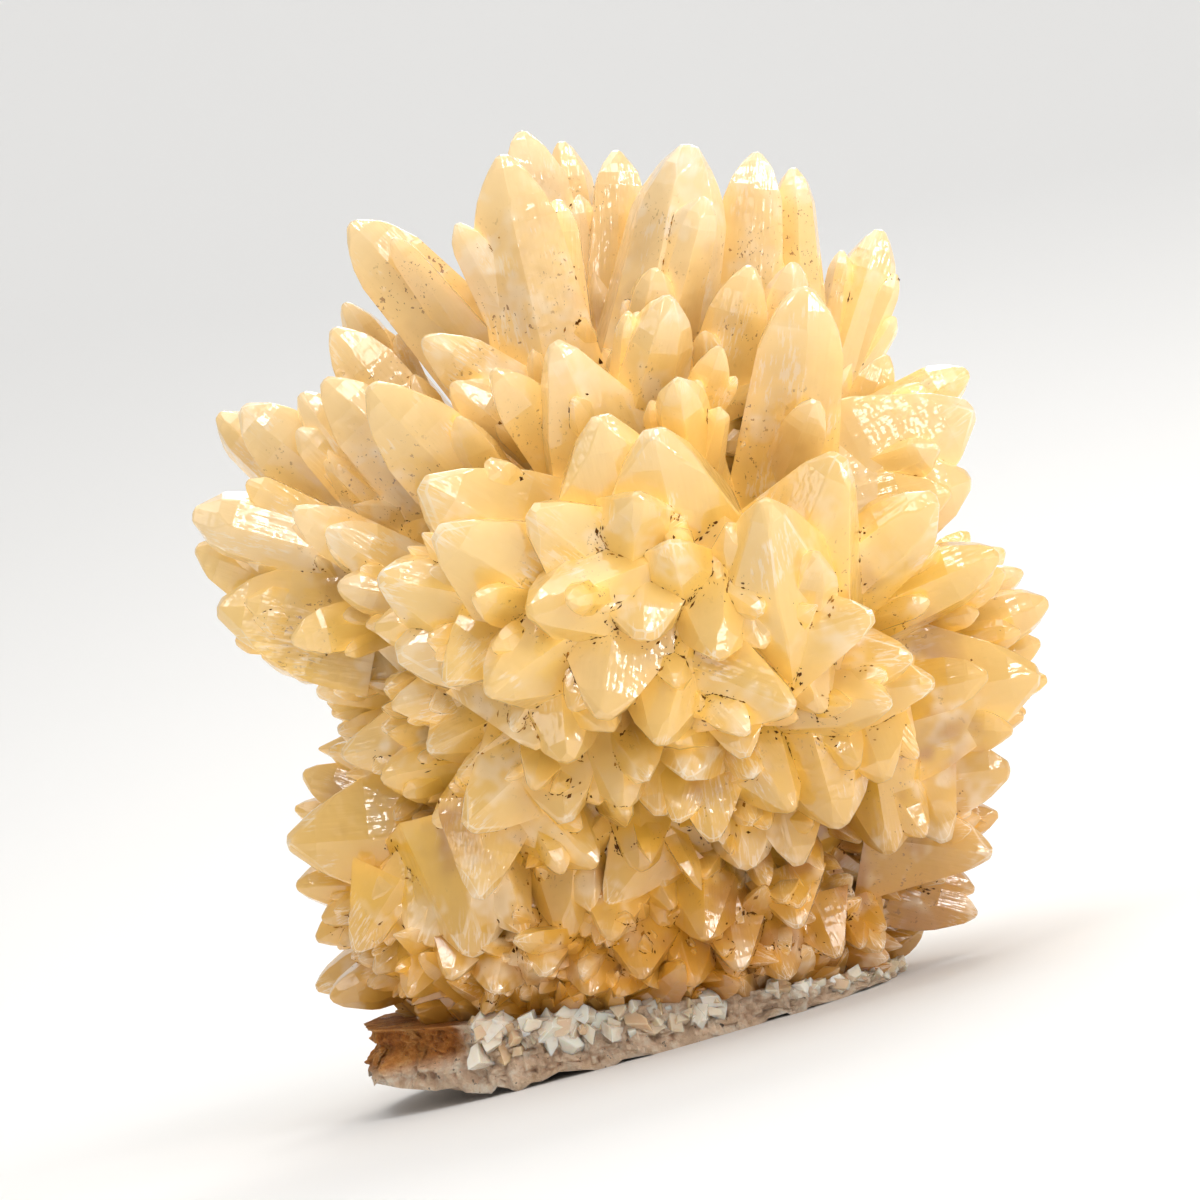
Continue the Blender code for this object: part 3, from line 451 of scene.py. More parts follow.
def crystal_mesh(length, width, blunt, rng):
    """A closed crystal in millimetres, cut from a block by its faces, with its edges rounded over."""
    total = length + width * (BLADE_ROOT if is_blade(length, width) else TOOTH_ROOT)
    bm = bmesh.new()
    block = Matrix.Translation((0, 0, -total / 2)) @ Matrix.Diagonal((4 * width, 4 * width, total, 1))
    bmesh.ops.create_cube(bm, size=1, matrix=block)
    for point, normal in habit(length, width, blunt, rng):
        geometry = bm.verts[:] + bm.edges[:] + bm.faces[:]
        cut = bmesh.ops.bisect_plane(bm, geom=geometry, plane_co=point, plane_no=normal, clear_outer=True)
        rim = [item for item in cut["geom_cut"] if isinstance(item, bmesh.types.BMEdge)]
        if rim:
            bmesh.ops.edgeloop_fill(bm, edges=rim)
    bmesh.ops.remove_doubles(bm, verts=bm.verts, dist=0.012 * width)
    bmesh.ops.scale(bm, vec=(THICKNESS, 1, 1), verts=bm.verts)
    bmesh.ops.recalc_face_normals(bm, faces=bm.faces)
    crests = [
        edge for edge in bm.edges
        if min(vert.co.z for vert in edge.verts) > -length and edge.calc_face_angle(0) > LEAST_BEVELLED
    ]
    sharp = bm.copy()
    rim = bm.faces.layers.float.new("rim")
    sharp.faces.layers.float.new("rim")
    rounded = bmesh.ops.bevel(
        bm, geom=crests, offset=EDGE_BEVEL * width, offset_type="OFFSET", affect="EDGES",
        segments=2 if width > FINE_FROM else 1, profile=0.5, clamp_overlap=True,
    )
    for face in rounded["faces"]:
        face[rim] = 1.0
    bmesh.ops.remove_doubles(bm, verts=bm.verts, dist=0.001 * width)
    if is_closed(bm):
        sharp.free()
        return bm
    bm.free()
    return sharp


def crystal_pose(tip, root, turn):
    """Puts a crystal's tip at tip with its axis away from root and its broad side to the front."""
    axis = (tip - root).normalized()
    front = Vector((0, -1, 0))
    if abs(axis.dot(front)) > 0.95:
        front = Vector((0, 0, 1))
    front = (front - axis * axis.dot(front)).normalized()
    side = axis.cross(front)
    frame_axes = Matrix((front, side, axis)).transposed().to_4x4()
    return Matrix.Translation(tip) @ frame_axes @ Matrix.Rotation(math.radians(turn), 4, "Z")


def placed_crystals():
    """(tip, root, width, turn, blunt) of each crystal in the rows above."""
    for row in PLACED_ROWS:
        for tip_x, tip_z, root_x, root_z, width, depth, lean, turn, blunt in row:
            reach = math.hypot(tip_x - root_x, tip_z - root_z)
            tip_depth = depth - reach * math.tan(math.radians(lean))
            yield Vector((tip_x, tip_depth, tip_z)), Vector((root_x, depth, root_z)), width, turn, blunt


def segment_distance(point, start, end):
    """How far a point is from the line between start and end."""
    along = end - start
    share = max(0.0, min(1.0, (point - start).dot(along) / along.length_squared))
    return (point - start - along * share).length


def spiral_direction(index, count):
    """One of count directions spread evenly over a sphere."""
    z = 1 - (2 * index + 1) / count
    turn = index * math.pi * (3 - math.sqrt(5))
    flat = math.sqrt(1 - z * z)
    return Vector((flat * math.cos(turn), flat * math.sin(turn), z))


def inside(point, core):
    """Whether a point lies inside a core."""
    centre, half = core
    return sum(((p - c) / h) ** 2 for p, c, h in zip(point, centre, half)) < 1


def core_sites(core, step):
    """(site, outward normal), about step apart, all over the bare surface of a core."""
    centre, half = core
    area = 4 * math.pi * sum(half[i] * half[i - 1] for i in range(3)) / 3
    count = int(area / step ** 2)
    for index in range(count):
        way = spiral_direction(index, count)
        site = Vector(c + w * h for c, w, h in zip(centre, way, half))
        if not any(inside(site, other) for other in CORES if other is not core):
            yield site, Vector(w / h for w, h in zip(way, half)).normalized()


def grown_direction(rng, normal, height):
    sway = Vector(rng.uniform(-SWAY, SWAY) for _ in range(3))
    return (normal + sway + Vector((0, 0, RISE * max(0.0, height)))).normalized()


def wedge_top(x):
    """Height of the rock's top above the ground, at this x of the rest frame."""
    return WEDGE_TOP_AT_LEFT - WEDGE_FALL * (x - WEDGE_LEFT)


def seat_height(point):
    """How far above the rock's top a point of the growth frame is."""
    rest = rest_matrix() @ point
    return rest.z - wedge_top(rest.x)


def crowded(tip, waist, width, standing, clearance):
    return any(
        min(segment_distance(waist, a, b), segment_distance(tip, a, b)) < clearance * (width + w)
        for a, b, w in standing
    )


def grown_crystals(placed):
    """(tip, root, width, turn, blunt) of the crystals that fill what the placed ones leave bare."""
    rng = random.Random(SEED)
    standing = [(tip, root, width) for tip, root, width, _, _ in placed]
    for core in CORES:
        for site, normal in core_sites(core, SITE_STEP):
            height = (site.z - GROWN_LOW) / (GROWN_HIGH - GROWN_LOW)
            width = GROWN_WIDTH_LOW + height * (GROWN_WIDTH_HIGH - GROWN_WIDTH_LOW)
            width *= rng.uniform(*WIDTH_SPREAD)
            away = grown_direction(rng, normal, height)
            reach = width * rng.uniform(*REACH_RANGE)
            turn = rng.uniform(-GROWN_TURN, GROWN_TURN) + rng.choice((0, 180))
            blunt = rng.uniform(*GROWN_BLUNT)
            if seat_height(site + away * reach) < LOWEST_TIP:
                away = (away + Vector((0, 0, FOOT_RISE))).normalized()
            tip = site + away * reach
            if seat_height(tip) < LOWEST_TIP:
                continue
            if crowded(tip, site.lerp(tip, WAIST), width, standing, CLEARANCE):
                continue
            root = site - away * ROOT_DEPTH * width
            standing.append((tip, root, width))
            yield tip, root, width, turn, blunt


def satellites(crystals):
    """Smaller crystals in parallel growth beside the larger ones."""
    rng = random.Random(SEED + 1)
    for tip, root, width, turn, blunt in crystals:
        if width < SATELLITES_FROM:
            continue
        axis = tip - root
        for _ in range(rng.randint(*SATELLITE_COUNT)):
            side = axis.cross(Vector(rng.gauss(0, 1) for _ in range(3))).normalized()
            own_width = width * rng.uniform(*SATELLITE_WIDTH)
            drop = rng.uniform(*SATELLITE_DROP)
            offset = side * width * rng.uniform(*SATELLITE_OFFSET)
            own_tip = tip - axis * drop + offset + side * axis.length * SATELLITE_SPLAY * rng.random()
            own_root = root + offset * 0.4
            if seat_height(own_tip) > LOWEST_TIP:
                own_turn = turn + rng.uniform(-30, 30)
                yield own_tip, own_root, own_width, own_turn, blunt + rng.uniform(-0.1, 0.2)


def infill():
    """The fine crystals that line the crevices, all over the cores."""
    rng = random.Random(SEED + 2)
    for core in CORES:
        for site, normal in core_sites(core, INFILL_STEP):
            yield fine_crystal(rng, site, normal, INFILL_WIDTH, INFILL_REACH)
        for site, normal in core_sites(core, FOOT_STEP):
            if 0 < seat_height(site) < FOOT_HIGH:
                yield fine_crystal(rng, site, normal, FOOT_WIDTH, FOOT_REACH)


def fine_crystal(rng, site, normal, widths, reaches):
    width = rng.uniform(*widths)
    sway = Vector(rng.uniform(-0.4, 0.4) for _ in range(3))
    away = (normal + sway).normalized()
    reach = width * rng.uniform(*reaches)
    if seat_height(site + away * reach) < LOWEST_TIP:
        away = (away + Vector((0, 0, 1))).normalized()
    return site + away * reach, site - away * 0.4 * width, width, rng.uniform(0, 360), rng.uniform(0.1, 0.5)


def mesh_object(name, bm, collection):
    mesh = bpy.data.meshes.new(name)
    bm.to_mesh(mesh)
    bm.free()
    built = bpy.data.objects.new(name, mesh)
    collection.objects.link(built)
    return built


def paint(mesh, name, values):
    """A number for each face corner, which a Boolean carries over to what is left of the face."""
    mesh.attributes.new(name, "FLOAT", "CORNER").data.foreach_set("value", values)


def crystal(name, row, collection, rng, to_row):
    """One crystal, painted with how far a point is below the tip and across, in widths, and with a tint."""
    tip, root, width, turn, blunt = row
    bm = crystal_mesh((tip - root).length, width, max(0.0, blunt), rng)
    if not is_closed(bm):
        bm.free()
        return
    below = [-vert.co.z / width for vert in bm.verts]
    across = [vert.co.y / width for vert in bm.verts]
    bmesh.ops.transform(bm, matrix=to_row @ crystal_pose(tip, root, turn), verts=bm.verts)
    built = mesh_object(name, bm, collection)
    paint(built.data, "below_tip", [below[loop.vertex_index] for loop in built.data.loops])
    paint(built.data, "across", [across[loop.vertex_index] for loop in built.data.loops])
    paint(built.data, "tint", [rng.random()] * len(built.data.loops))


def core_lump(name, core, collection):
    centre, half = core
    bm = bmesh.new()
    shape = row_matrix() @ Matrix.Translation(centre) @ Matrix.Diagonal((*half, 1))
    bmesh.ops.create_icosphere(bm, subdivisions=3, radius=1, matrix=shape)
    built = mesh_object(name, bm, collection)
    for number, value in (("below_tip", 2.5), ("across", 0.0), ("tint", 0.3)):
        paint(built.data, number, [value] * len(built.data.loops))
    built.data.attributes.new("rim", "FLOAT", "FACE")
    return built


def apply_modifiers(built):
    bpy.context.view_layer.update()
    graph = bpy.context.evaluated_depsgraph_get()
    mesh = bpy.data.meshes.new_from_object(built.evaluated_get(graph))
    built.modifiers.clear()
    built.data = mesh


def join(target, operation, **operand):
    boolean = target.modifiers.new("join", "BOOLEAN")
    boolean.operation = operation
    boolean.solver = "MANIFOLD"
    for setting, value in operand.items():
        setattr(boolean, setting, value)


def seat_cutter(collection):
    """A block whose top is the plane that the crystals end on, just inside the rock."""
    bm = bmesh.new()
    bmesh.ops.create_cube(bm, size=CUTTER_SIZE, matrix=Matrix.Translation((0, 0, -CUTTER_SIZE / 2)))
    fall = Matrix.Rotation(math.atan(WEDGE_FALL), 4, "Y")
    lift = Matrix.Translation((0, 0, wedge_top(0) - SEAT_SINK))
    bmesh.ops.transform(bm, matrix=rest_to_row() @ lift @ fall, verts=bm.verts)
    return mesh_object("seat_cutter", bm, collection)


def joined(target, helpers):
    """The target and every helper in one skin; the helpers are used up."""
    join(target, "UNION", operand_type="COLLECTION", collection=helpers)
    apply_modifiers(target)
    for helper in list(helpers.objects):
        bpy.data.objects.remove(helper)
    bpy.data.collections.remove(helpers)
    return target


def crystal_cluster():
    """All the crystals and the cores in one skin, cut off where the rock begins."""
    scene_collection = bpy.context.scene.collection
    helpers = bpy.data.collections.new("to_join")
    scene_collection.children.link(helpers)
    rng = random.Random(SEED + 3)
    placed = list(placed_crystals())
    large = placed + list(grown_crystals(placed))
    rows = large + list(satellites(large)) + list(infill())
    for index, row in enumerate(rows):
        crystal(f"crystal_{index}", row, helpers, rng, row_matrix())
    for index, core in enumerate(CORES[1:]):
        core_lump(f"core_{index}", core, helpers)
    cluster = joined(core_lump("crystal_cluster", CORES[0], scene_collection), helpers)
    cutter = seat_cutter(scene_collection)
    join(cluster, "DIFFERENCE", object=cutter)
    apply_modifiers(cluster)
    bpy.data.objects.remove(cutter)
    cluster.data.shade_flat()
    return cluster


def open_seams(bm, tree):
    """(start, end, outward) of each seam between two crystals that shows, in the row frame."""
    for edge in bm.edges:
        if len(edge.link_faces) != 2 or edge.calc_face_angle_signed(0) > SEAM_ANGLE:
            continue
        outward = (edge.link_faces[0].normal + edge.link_faces[1].normal).normalized()
        start, end = (vert.co.copy() for vert in edge.verts)
        origin = (start + end) / 2 + outward * 0.0003
        if tree.ray_cast(origin, outward, SEAM_OPENING)[0] is None:
            yield start, end, outward


def dirtiness(grown):
    """From 0, clean, to 1, thick dirt, at a point of the growth frame."""
    field = noise.noise(grown * 0.33 + Vector((5.1, 2.7, 9.3))) + 0.35 * noise.noise(grown * 1.3)
    amount = max(0.0, field - DIRT_FIELD) * 3
    for x, z, radius in DIRT_SPOTS:
        if grown.y < 0 and math.hypot(grown.x - x, grown.z - z) < radius:
            amount = max(amount, 0.9)
    broken = noise.noise(grown * 2.6 + Vector((1.7, 8.2, 3.3)))
    return min(1.0, amount) * max(0.0, min(1.0, 0.35 + 3.2 * broken))


def flake(rng, middle, way, outward):
    """The six corners of one flake that lies along way on a face that looks outward."""
    size = rng.choice((1, 1, 1, 1.5, 2.2)) * MM
    long = rng.uniform(*FLAKE_LONG) * size
    thick = rng.uniform(*FLAKE_THICK) * size
    over = way.cross(outward).normalized()
    up = over.cross(way)
    for a, b, c in FLAKE:
        stretch = rng.uniform(0.6, 1.3)
        yield middle + (way * a * long + over * b * thick * 1.4 + up * c * thick * 0.7) * stretch


def seam_dirt(cluster):
    """Dark flakes and threads of dirt, and rusty ones, caught in the open seams and strewn beside them."""
    rng = random.Random(SEED + 4)
    from_row = row_matrix().inverted()
    bm = bmesh.new()
    bm.from_mesh(cluster.data)
    bm.normal_update()
    tree = BVHTree.FromBMesh(bm)
    points = []
    tints = []
    for start, end, outward in open_seams(bm, tree):
        along = end - start
        if along.length < 1e-6:
            continue
        way = along.normalized()
        rusty = noise.noise((from_row @ start) * 0.9) > 0.12
        for _ in range(int(along.length / (FLAKE_GAP * MM) + rng.random())):
            seat = start + along * rng.random()
            if rng.random() > dirtiness(from_row @ seat):
                continue
            stray = Vector(rng.gauss(0, FLAKE_STRAY * MM) for _ in range(3))
            stray *= rng.choice((0.1, 0.1, 0.1, 1, 2))
            place, normal, _, _ = tree.find_nearest(seat + stray)
            if stray.length < 0.1 * MM:
                normal = outward
            flat_way = way + Vector(rng.uniform(-0.5, 0.5) for _ in range(3))
            flat_way = (flat_way - normal * flat_way.dot(normal)).normalized()
            points += flake(rng, place, flat_way, normal)
            tints += [rng.uniform(0.5, 1.0) if rusty else rng.uniform(0.0, 0.3)] * len(FLAKE)
    bm.free()
    faces = [
        tuple(first + corner for corner in face)
        for first in range(0, len(points), len(FLAKE)) for face in FLAKE_FACES
    ]
    mesh = bpy.data.meshes.new("seam_dirt")
    mesh.from_pydata(points, [], faces)
    mesh.attributes.new("tint", "FLOAT", "POINT").data.foreach_set("value", tints)
    dirt = bpy.data.objects.new("seam_dirt", mesh)
    bpy.context.scene.collection.objects.link(dirt)
    return dirt


def outline_points(step):
    """Points of the rock's outline about step apart, each with the outward way."""
    for index, (x, y) in enumerate(WEDGE_OUTLINE):
        next_x, next_y = WEDGE_OUTLINE[(index + 1) % len(WEDGE_OUTLINE)]
        side = Vector((next_x - x, next_y - y))
        outward = Vector((-side.y, side.x)).normalized()
        count = max(1, round(side.length / step))
        for k in range(count):
            yield Vector((x, y)) + side * (k / count), outward


def wedge_under(x):
    """Height of the rock's underside above the ground, at this x of the rest frame."""
    return max(0.0, (UNDERCUT_FROM - x) * UNDERCUT_RISE)


def rock_point(corner, outward, share):
    """A point of the rock's broken side at this share of its height, in the rest frame."""
    low = wedge_under(corner.x)
    height = wedge_top(corner.x) - low
    point = Vector((corner.x, corner.y, low + share * height))
    grain = noise.fractal(point * 0.5, 0.9, 2.1, 6)
    chips = noise.cell(point * 0.9) + noise.cell(point * 2.3) - 1
    fine = noise.noise(point * 3.2) * 0.16 + noise.noise(point * 7.5) * 0.08
    hold = min(1.0, 5 * share + 0.2, 5 * (1 - share) + 0.1)
    push = (grain * ROCK_RELIEF + chips * ROCK_CHIPS * 0.4 + fine) * hold - 0.35
    recess = max(0.0, min(1.0, (RECESS_RIGHT - corner.x) / 1.2)) * max(0.0, min(1.0, (share - 0.35) * 4))
    push -= recess * RECESS_DEPTH * min(1.0, 6 * (1 - share) + 0.5)
    sag = noise.noise(point * 0.8) * 0.25 * (1 - share) * min(1.0, share * 8)
    chip = max(0.0, noise.noise(point * 0.7 + Vector((3.3, 0, 0))) + 0.1) * ROCK_CHIPPED * (1 - share) ** 2
    chip *= min(1.0, height / 2)
    return Vector((point.x + outward.x * push, point.y + outward.y * push, point.z + sag + chip))


def rock_skin():
    """The rock as a fine closed skin on the solid's outline, with a broken, gritty side."""
    corners = list(outline_points(ROCK_CELL))
    bm = bmesh.new()
    rings = []
    for layer in range(ROCK_LAYERS + 1):
        share = layer / ROCK_LAYERS
        rings.append([bm.verts.new(rock_point(corner, outward, share)) for corner, outward in corners])
    for low, high in zip(rings, rings[1:]):
        for index in range(len(corners)):
            after = (index + 1) % len(corners)
            bm.faces.new((low[index], low[after], high[after], high[index]))
    bm.faces.new(rings[-1])
    bm.faces.new(list(reversed(rings[0])))
    bmesh.ops.triangulate(bm, faces=[face for face in bm.faces if len(face.verts) > 4])
    bmesh.ops.recalc_face_normals(bm, faces=bm.faces)
    bmesh.ops.transform(bm, matrix=rest_to_row(), verts=bm.verts)
    rock = mesh_object("matrix_rock", bm, bpy.context.scene.collection)
    rock.data.shade_smooth()
    rock.data.set_sharp_from_angle(angle=math.radians(30))
    return rock


def cleavage_block(rng, size):
    """A closed rhomb of calcite in millimetres, with one or two corners broken off and its edges rubbed."""
    bm = bmesh.new()
    sides = Matrix.Diagonal((*(rng.uniform(0.55, 1.25) * size for _ in range(3)), 1))
    lean = Matrix(((1, CLEAVAGE_SHEAR, CLEAVAGE_SHEAR), (0, 1, CLEAVAGE_SHEAR), (0, 0, 1))).to_4x4()
    bmesh.ops.create_cube(bm, size=1, matrix=lean @ sides)
    for _ in range(rng.randint(1, 3)):
        way = Vector(rng.gauss(0, 1) for _ in range(3)).normalized()
        geometry = bm.verts[:] + bm.edges[:] + bm.faces[:]
        place = way * size * rng.uniform(0.25, 0.5)
        cut = bmesh.ops.bisect_plane(bm, geom=geometry, plane_co=place, plane_no=way, clear_outer=True)
        rim = [item for item in cut["geom_cut"] if isinstance(item, bmesh.types.BMEdge)]
        if rim:
            bmesh.ops.edgeloop_fill(bm, edges=rim)
    bmesh.ops.remove_doubles(bm, verts=bm.verts, dist=0.02 * size)
    bmesh.ops.bevel(
        bm, geom=bm.edges[:], offset=0.04 * size, affect="EDGES", segments=1, clamp_overlap=True,
    )
    bmesh.ops.remove_doubles(bm, verts=bm.verts, dist=0.002 * size)
    bmesh.ops.recalc_face_normals(bm, faces=bm.faces)
    return bm


def druse_places(rng):
    """(centre in the rest frame, size) of each block."""
    for corner, outward in outline_points(DRUSE_STEP):
        band = max(0.3, DRUSE_BAND - DRUSE_BAND_FALL * max(0.0, corner.x))
        if corner.x < RECESS_RIGHT or noise.noise(Vector((corner.x, corner.y, 0)) * 0.5) < -0.3:
            continue
        for _ in range(3):
            size = rng.uniform(*DRUSE_SIZE) * (0.55 + 0.25 * band)
            inset = 0.62 + rng.uniform(-0.1, 0.3)
            height = wedge_top(corner.x) - rng.uniform(0.0, 0.95) * band
            yield Vector((corner.x - outward.x * inset, corner.y - outward.y * inset, height)), size


def white_druse():
    rng = random.Random(SEED + 6)
    helpers = bpy.data.collections.new("druse_to_join")
    bpy.context.scene.collection.children.link(helpers)
    for index, (centre, size) in enumerate(druse_places(rng)):
        bm = cleavage_block(rng, size)
        angle = rng.uniform(0, 6.28)
        axis = Vector(rng.gauss(0, 1) for _ in range(3)).normalized()
        turn = Matrix.Rotation(angle, 4, axis)
        if not is_closed(bm):
            bm.free()
            continue
        bmesh.ops.transform(bm, matrix=rest_to_row() @ Matrix.Translation(centre) @ turn, verts=bm.verts)
        built = mesh_object(f"druse_{index}", bm, helpers)
        paint(built.data, "tint", [rng.random()] * len(built.data.loops))
    first = helpers.objects[0]
    bpy.context.scene.collection.objects.link(first)
    helpers.objects.unlink(first)
    first.name = "white_druse"
    druse = joined(first, helpers)
    druse.data.shade_flat()
    return druse


class Shader:
    """A material's node tree with short calls for its nodes."""

    def __init__(self, name):
        self.material = bpy.data.materials.new(name)
        self.material.use_nodes = True
        self.nodes = self.material.node_tree.nodes
        self.links = self.material.node_tree.links
        self.surface = self.nodes["Principled BSDF"]

    def node(self, kind, settings=None, **inputs):
        made = self.nodes.new(kind)
        for setting, value in (settings or {}).items():
            setattr(made, setting, value)
        for socket, value in inputs.items():
            self.put(made.inputs[socket.replace("_", " ")], value)
        return made

    def put(self, socket, value):
        if isinstance(value, bpy.types.NodeSocket):
            self.links.new(value, socket)
        else:
            socket.default_value = value

    def place(self):
        return self.node("ShaderNodeTexCoord").outputs["Object"]

    def attribute(self, name):
        return self.node("ShaderNodeAttribute", {"attribute_name": name}).outputs["Fac"]

    def noise(self, scale, detail=3.0, rough=0.5, at=None):
        made = self.node("ShaderNodeTexNoise", Vector=at or self.place(), Scale=scale, Detail=detail)
        made.inputs["Roughness"].default_value = rough
        return made.outputs["Fac"]

    def cracks(self, scale, at=None):
        to_edge = {"feature": "DISTANCE_TO_EDGE"}
        made = self.node("ShaderNodeTexVoronoi", to_edge, Vector=at or self.place(), Scale=scale)
        return made.outputs["Distance"]

    def ramp(self, value, low, high, out_low=0.0, out_high=1.0):
        made = self.node("ShaderNodeMapRange", {"interpolation_type": "SMOOTHSTEP"}, Value=value)
        made.inputs["From Min"].default_value = low
        made.inputs["From Max"].default_value = high
        made.inputs["To Min"].default_value = out_low
        made.inputs["To Max"].default_value = out_high
        return made.outputs["Result"]

    def math(self, operation, a, b=0.0):
        made = self.node("ShaderNodeMath", {"operation": operation})
        self.put(made.inputs[0], a)
        self.put(made.inputs[1], b)
        return made.outputs[0]

    def gradient(self, value, *stops):
        made = self.node("ShaderNodeValToRGB", Fac=value)
        elements = made.color_ramp.elements
        while len(elements) < len(stops):
            elements.new(1.0)
        for element, (place, colour) in zip(elements, stops):
            element.position = place
            element.color = (*colour, 1)
        return made.outputs["Color"]

    def local(self, across, below, tint):
        """Texture coordinates that run with each crystal and differ from one crystal to the next."""
        shift = self.math("MULTIPLY", self.attribute("tint"), tint)
        x = self.math("MULTIPLY", self.attribute("across"), across)
        y = self.math("MULTIPLY", self.attribute("below_tip"), below)
        return self.node("ShaderNodeCombineXYZ", X=x, Y=y, Z=shift).outputs["Vector"]

    def blend(self, amount, a, b, kind="MIX"):
        made = self.node("ShaderNodeMix", {"data_type": "RGBA", "blend_type": kind})
        self.put(made.inputs[0], amount)
        self.put(made.inputs[6], a if isinstance(a, bpy.types.NodeSocket) else (*a, 1))
        self.put(made.inputs[7], b if isinstance(b, bpy.types.NodeSocket) else (*b, 1))
        return made.outputs[2]

    def bump(self, height, distance, strength=1.0, normal=None):
        made = self.node("ShaderNodeBump", Height=height, Distance=distance, Strength=strength)
        if normal:
            self.links.new(normal, made.inputs["Normal"])
        return made.outputs["Normal"]


def honey_calcite():
    """Cloudy honey calcite: milky at the tips, deeper towards the foot, streaked, specked and rusty, with
    painted highlights, partly frosting, on the faces, tips and ridges.
    """
    shader = Shader("honey_calcite")
    surface = shader.surface.inputs
    below = shader.attribute("below_tip")
    tint = shader.attribute("tint")
    height = shader.node("ShaderNodeSeparateXYZ", Vector=shader.place()).outputs["Z"]
    cloud = shader.noise(110, 3)
    level = shader.math("ADD", shader.math("MULTIPLY", height, 17.5), shader.math("MULTIPLY", cloud, 0.12))
    body = shader.gradient(
        level, (0.10, (0.50, 0.19, 0.010)), (0.30, (0.82, 0.46, 0.060)), (0.58, (0.95, 0.60, 0.140)),
        (0.95, (0.97, 0.65, 0.26)),
    )
    milk = shader.gradient(level, (0.12, (0.70, 0.40, 0.09)), (0.85, (0.98, 0.76, 0.47)))
    root = shader.ramp(below, 0.05, 0.9)
    colour = shader.blend(shader.ramp(tint, 0.5, 1.0, 0.0, 0.4), body, milk)
    colour = shader.blend(root, shader.blend(0.35, colour, milk), colour)
    # Painted highlights, partly frosting: near-white streaks in patches over the faces and near the tips,
    # where the facets would flash in the light.
    glint_and_frost_streaks = shader.ramp(shader.noise(1.0, 3, 0.7, shader.local(26.0, 4.0, 19.0)), 0.50, 0.60)
    near_tip = shader.ramp(below, 0.45, 0.05)
    glint_and_frost_patches = shader.ramp(shader.noise(210, 2, 0.6), 0.585, 0.65)
    tip_glint_and_frost = shader.math("MULTIPLY", near_tip, shader.ramp(cloud, 0.52, 0.6))
    glint_and_frost_patches = shader.math("MAXIMUM", glint_and_frost_patches, tip_glint_and_frost)
    painted_glint_and_frost = shader.math("MULTIPLY", glint_and_frost_streaks, glint_and_frost_patches)
    colour = shader.blend(shader.math("MULTIPLY", painted_glint_and_frost, 0.30), colour, (1.0, 0.96, 0.87))
    mottle = shader.ramp(shader.noise(380, 2, 0.65), 0.5, 0.66)
    mottle = shader.math("MULTIPLY", mottle, shader.ramp(cloud, 0.45, 0.62))
    colour = shader.blend(shader.math("MULTIPLY", mottle, 0.4), colour, (0.99, 0.88, 0.70))
    # Painted highlight along the bevelled ridges, partly frosting: the rims are lightened where the glint
    # patches fall.
    ridge_glint_and_frost = shader.math("MULTIPLY", shader.attribute("rim"), glint_and_frost_patches)
    colour = shader.blend(shader.math("MULTIPLY", ridge_glint_and_frost, 0.35), colour, (1.0, 0.93, 0.78))
    crevice = shader.ramp(below, 0.3, 1.0)
    low = shader.ramp(height, 0.034, 0.006)
    rust = shader.math("MULTIPLY", shader.ramp(shader.noise(200, 2, 0.6), 0.50, 0.64), crevice)
    rust = shader.math("MULTIPLY", rust, shader.math("ADD", shader.math("MULTIPLY", low, 0.8), 0.2))
    colour = shader.blend(rust, colour, (0.50, 0.22, 0.045))
    field = shader.ramp(shader.noise(150, 2, 0.6), 0.46, 0.62)
    dashes = shader.ramp(shader.noise(1.0, 2, 0.6, shader.local(34.0, 12.0, 61.0)), 0.67, 0.71)
    grains = shader.math("MAXIMUM", dashes, shader.ramp(shader.noise(2900, 2, 0.65), 0.64, 0.68))
    dirt = shader.math("MULTIPLY", grains, shader.math("MULTIPLY", field, crevice))
    colour = shader.blend(shader.math("MULTIPLY", dirt, 0.85), colour, (0.30, 0.115, 0.018))
    shader.put(surface["Base Color"], colour)
    shader.put(surface["Roughness"], shader.ramp(mottle, 0.0, 1.0, 0.28, 0.5))
    shader.surface.subsurface_method = "BURLEY"
    surface["Subsurface Weight"].default_value = 1.0
    surface["Subsurface Radius"].default_value = (1.0, 1.0, 0.9)
    surface["Subsurface Scale"].default_value = 0.0018
    surface["IOR"].default_value = 1.6
    surface["Coat Weight"].default_value = 1.0
    surface["Coat Roughness"].default_value = 0.05
    surface["Coat IOR"].default_value = 1.75
    lines = shader.noise(1.0, 2, 0.55, shader.local(14.0, 1.2, 83.0))
    relief = shader.bump(lines, 0.00010, 0.3)
    shader.put(surface["Normal"], shader.bump(shader.noise(520, 2, 0.62), 0.00022, 0.5, relief))
    shader.put(surface["Coat Normal"], shader.bump(shader.noise(800, 2, 0.6), 0.00007, 1.0, relief))
    return shader.material


def white_calcite():
    """The white druse: milky, with a trace of honey and grey, and a bright gloss."""
    shader = Shader("white_calcite")
    surface = shader.surface.inputs
    tint = shader.attribute("tint")
    colour = shader.gradient(
        tint, (0.0, (0.70, 0.45, 0.24)), (0.45, (0.88, 0.70, 0.52)), (1.0, (0.96, 0.88, 0.78)),
    )
    colour = shader.blend(shader.ramp(shader.noise(700, 4), 0.55, 0.7, 0, 0.35), colour, (0.55, 0.36, 0.20))
    shader.put(surface["Base Color"], colour)
    surface["Roughness"].default_value = 0.2
    surface["Subsurface Weight"].default_value = 1.0
    surface["Subsurface Radius"].default_value = (1.0, 0.8, 0.6)
    surface["Subsurface Scale"].default_value = 0.0006
    surface["IOR"].default_value = 1.6
    surface["Coat Weight"].default_value = 0.4
    surface["Coat Roughness"].default_value = 0.06
    shader.put(surface["Normal"], shader.bump(shader.noise(1500, 5, 0.65), 0.0002, 0.6))
    return shader.material


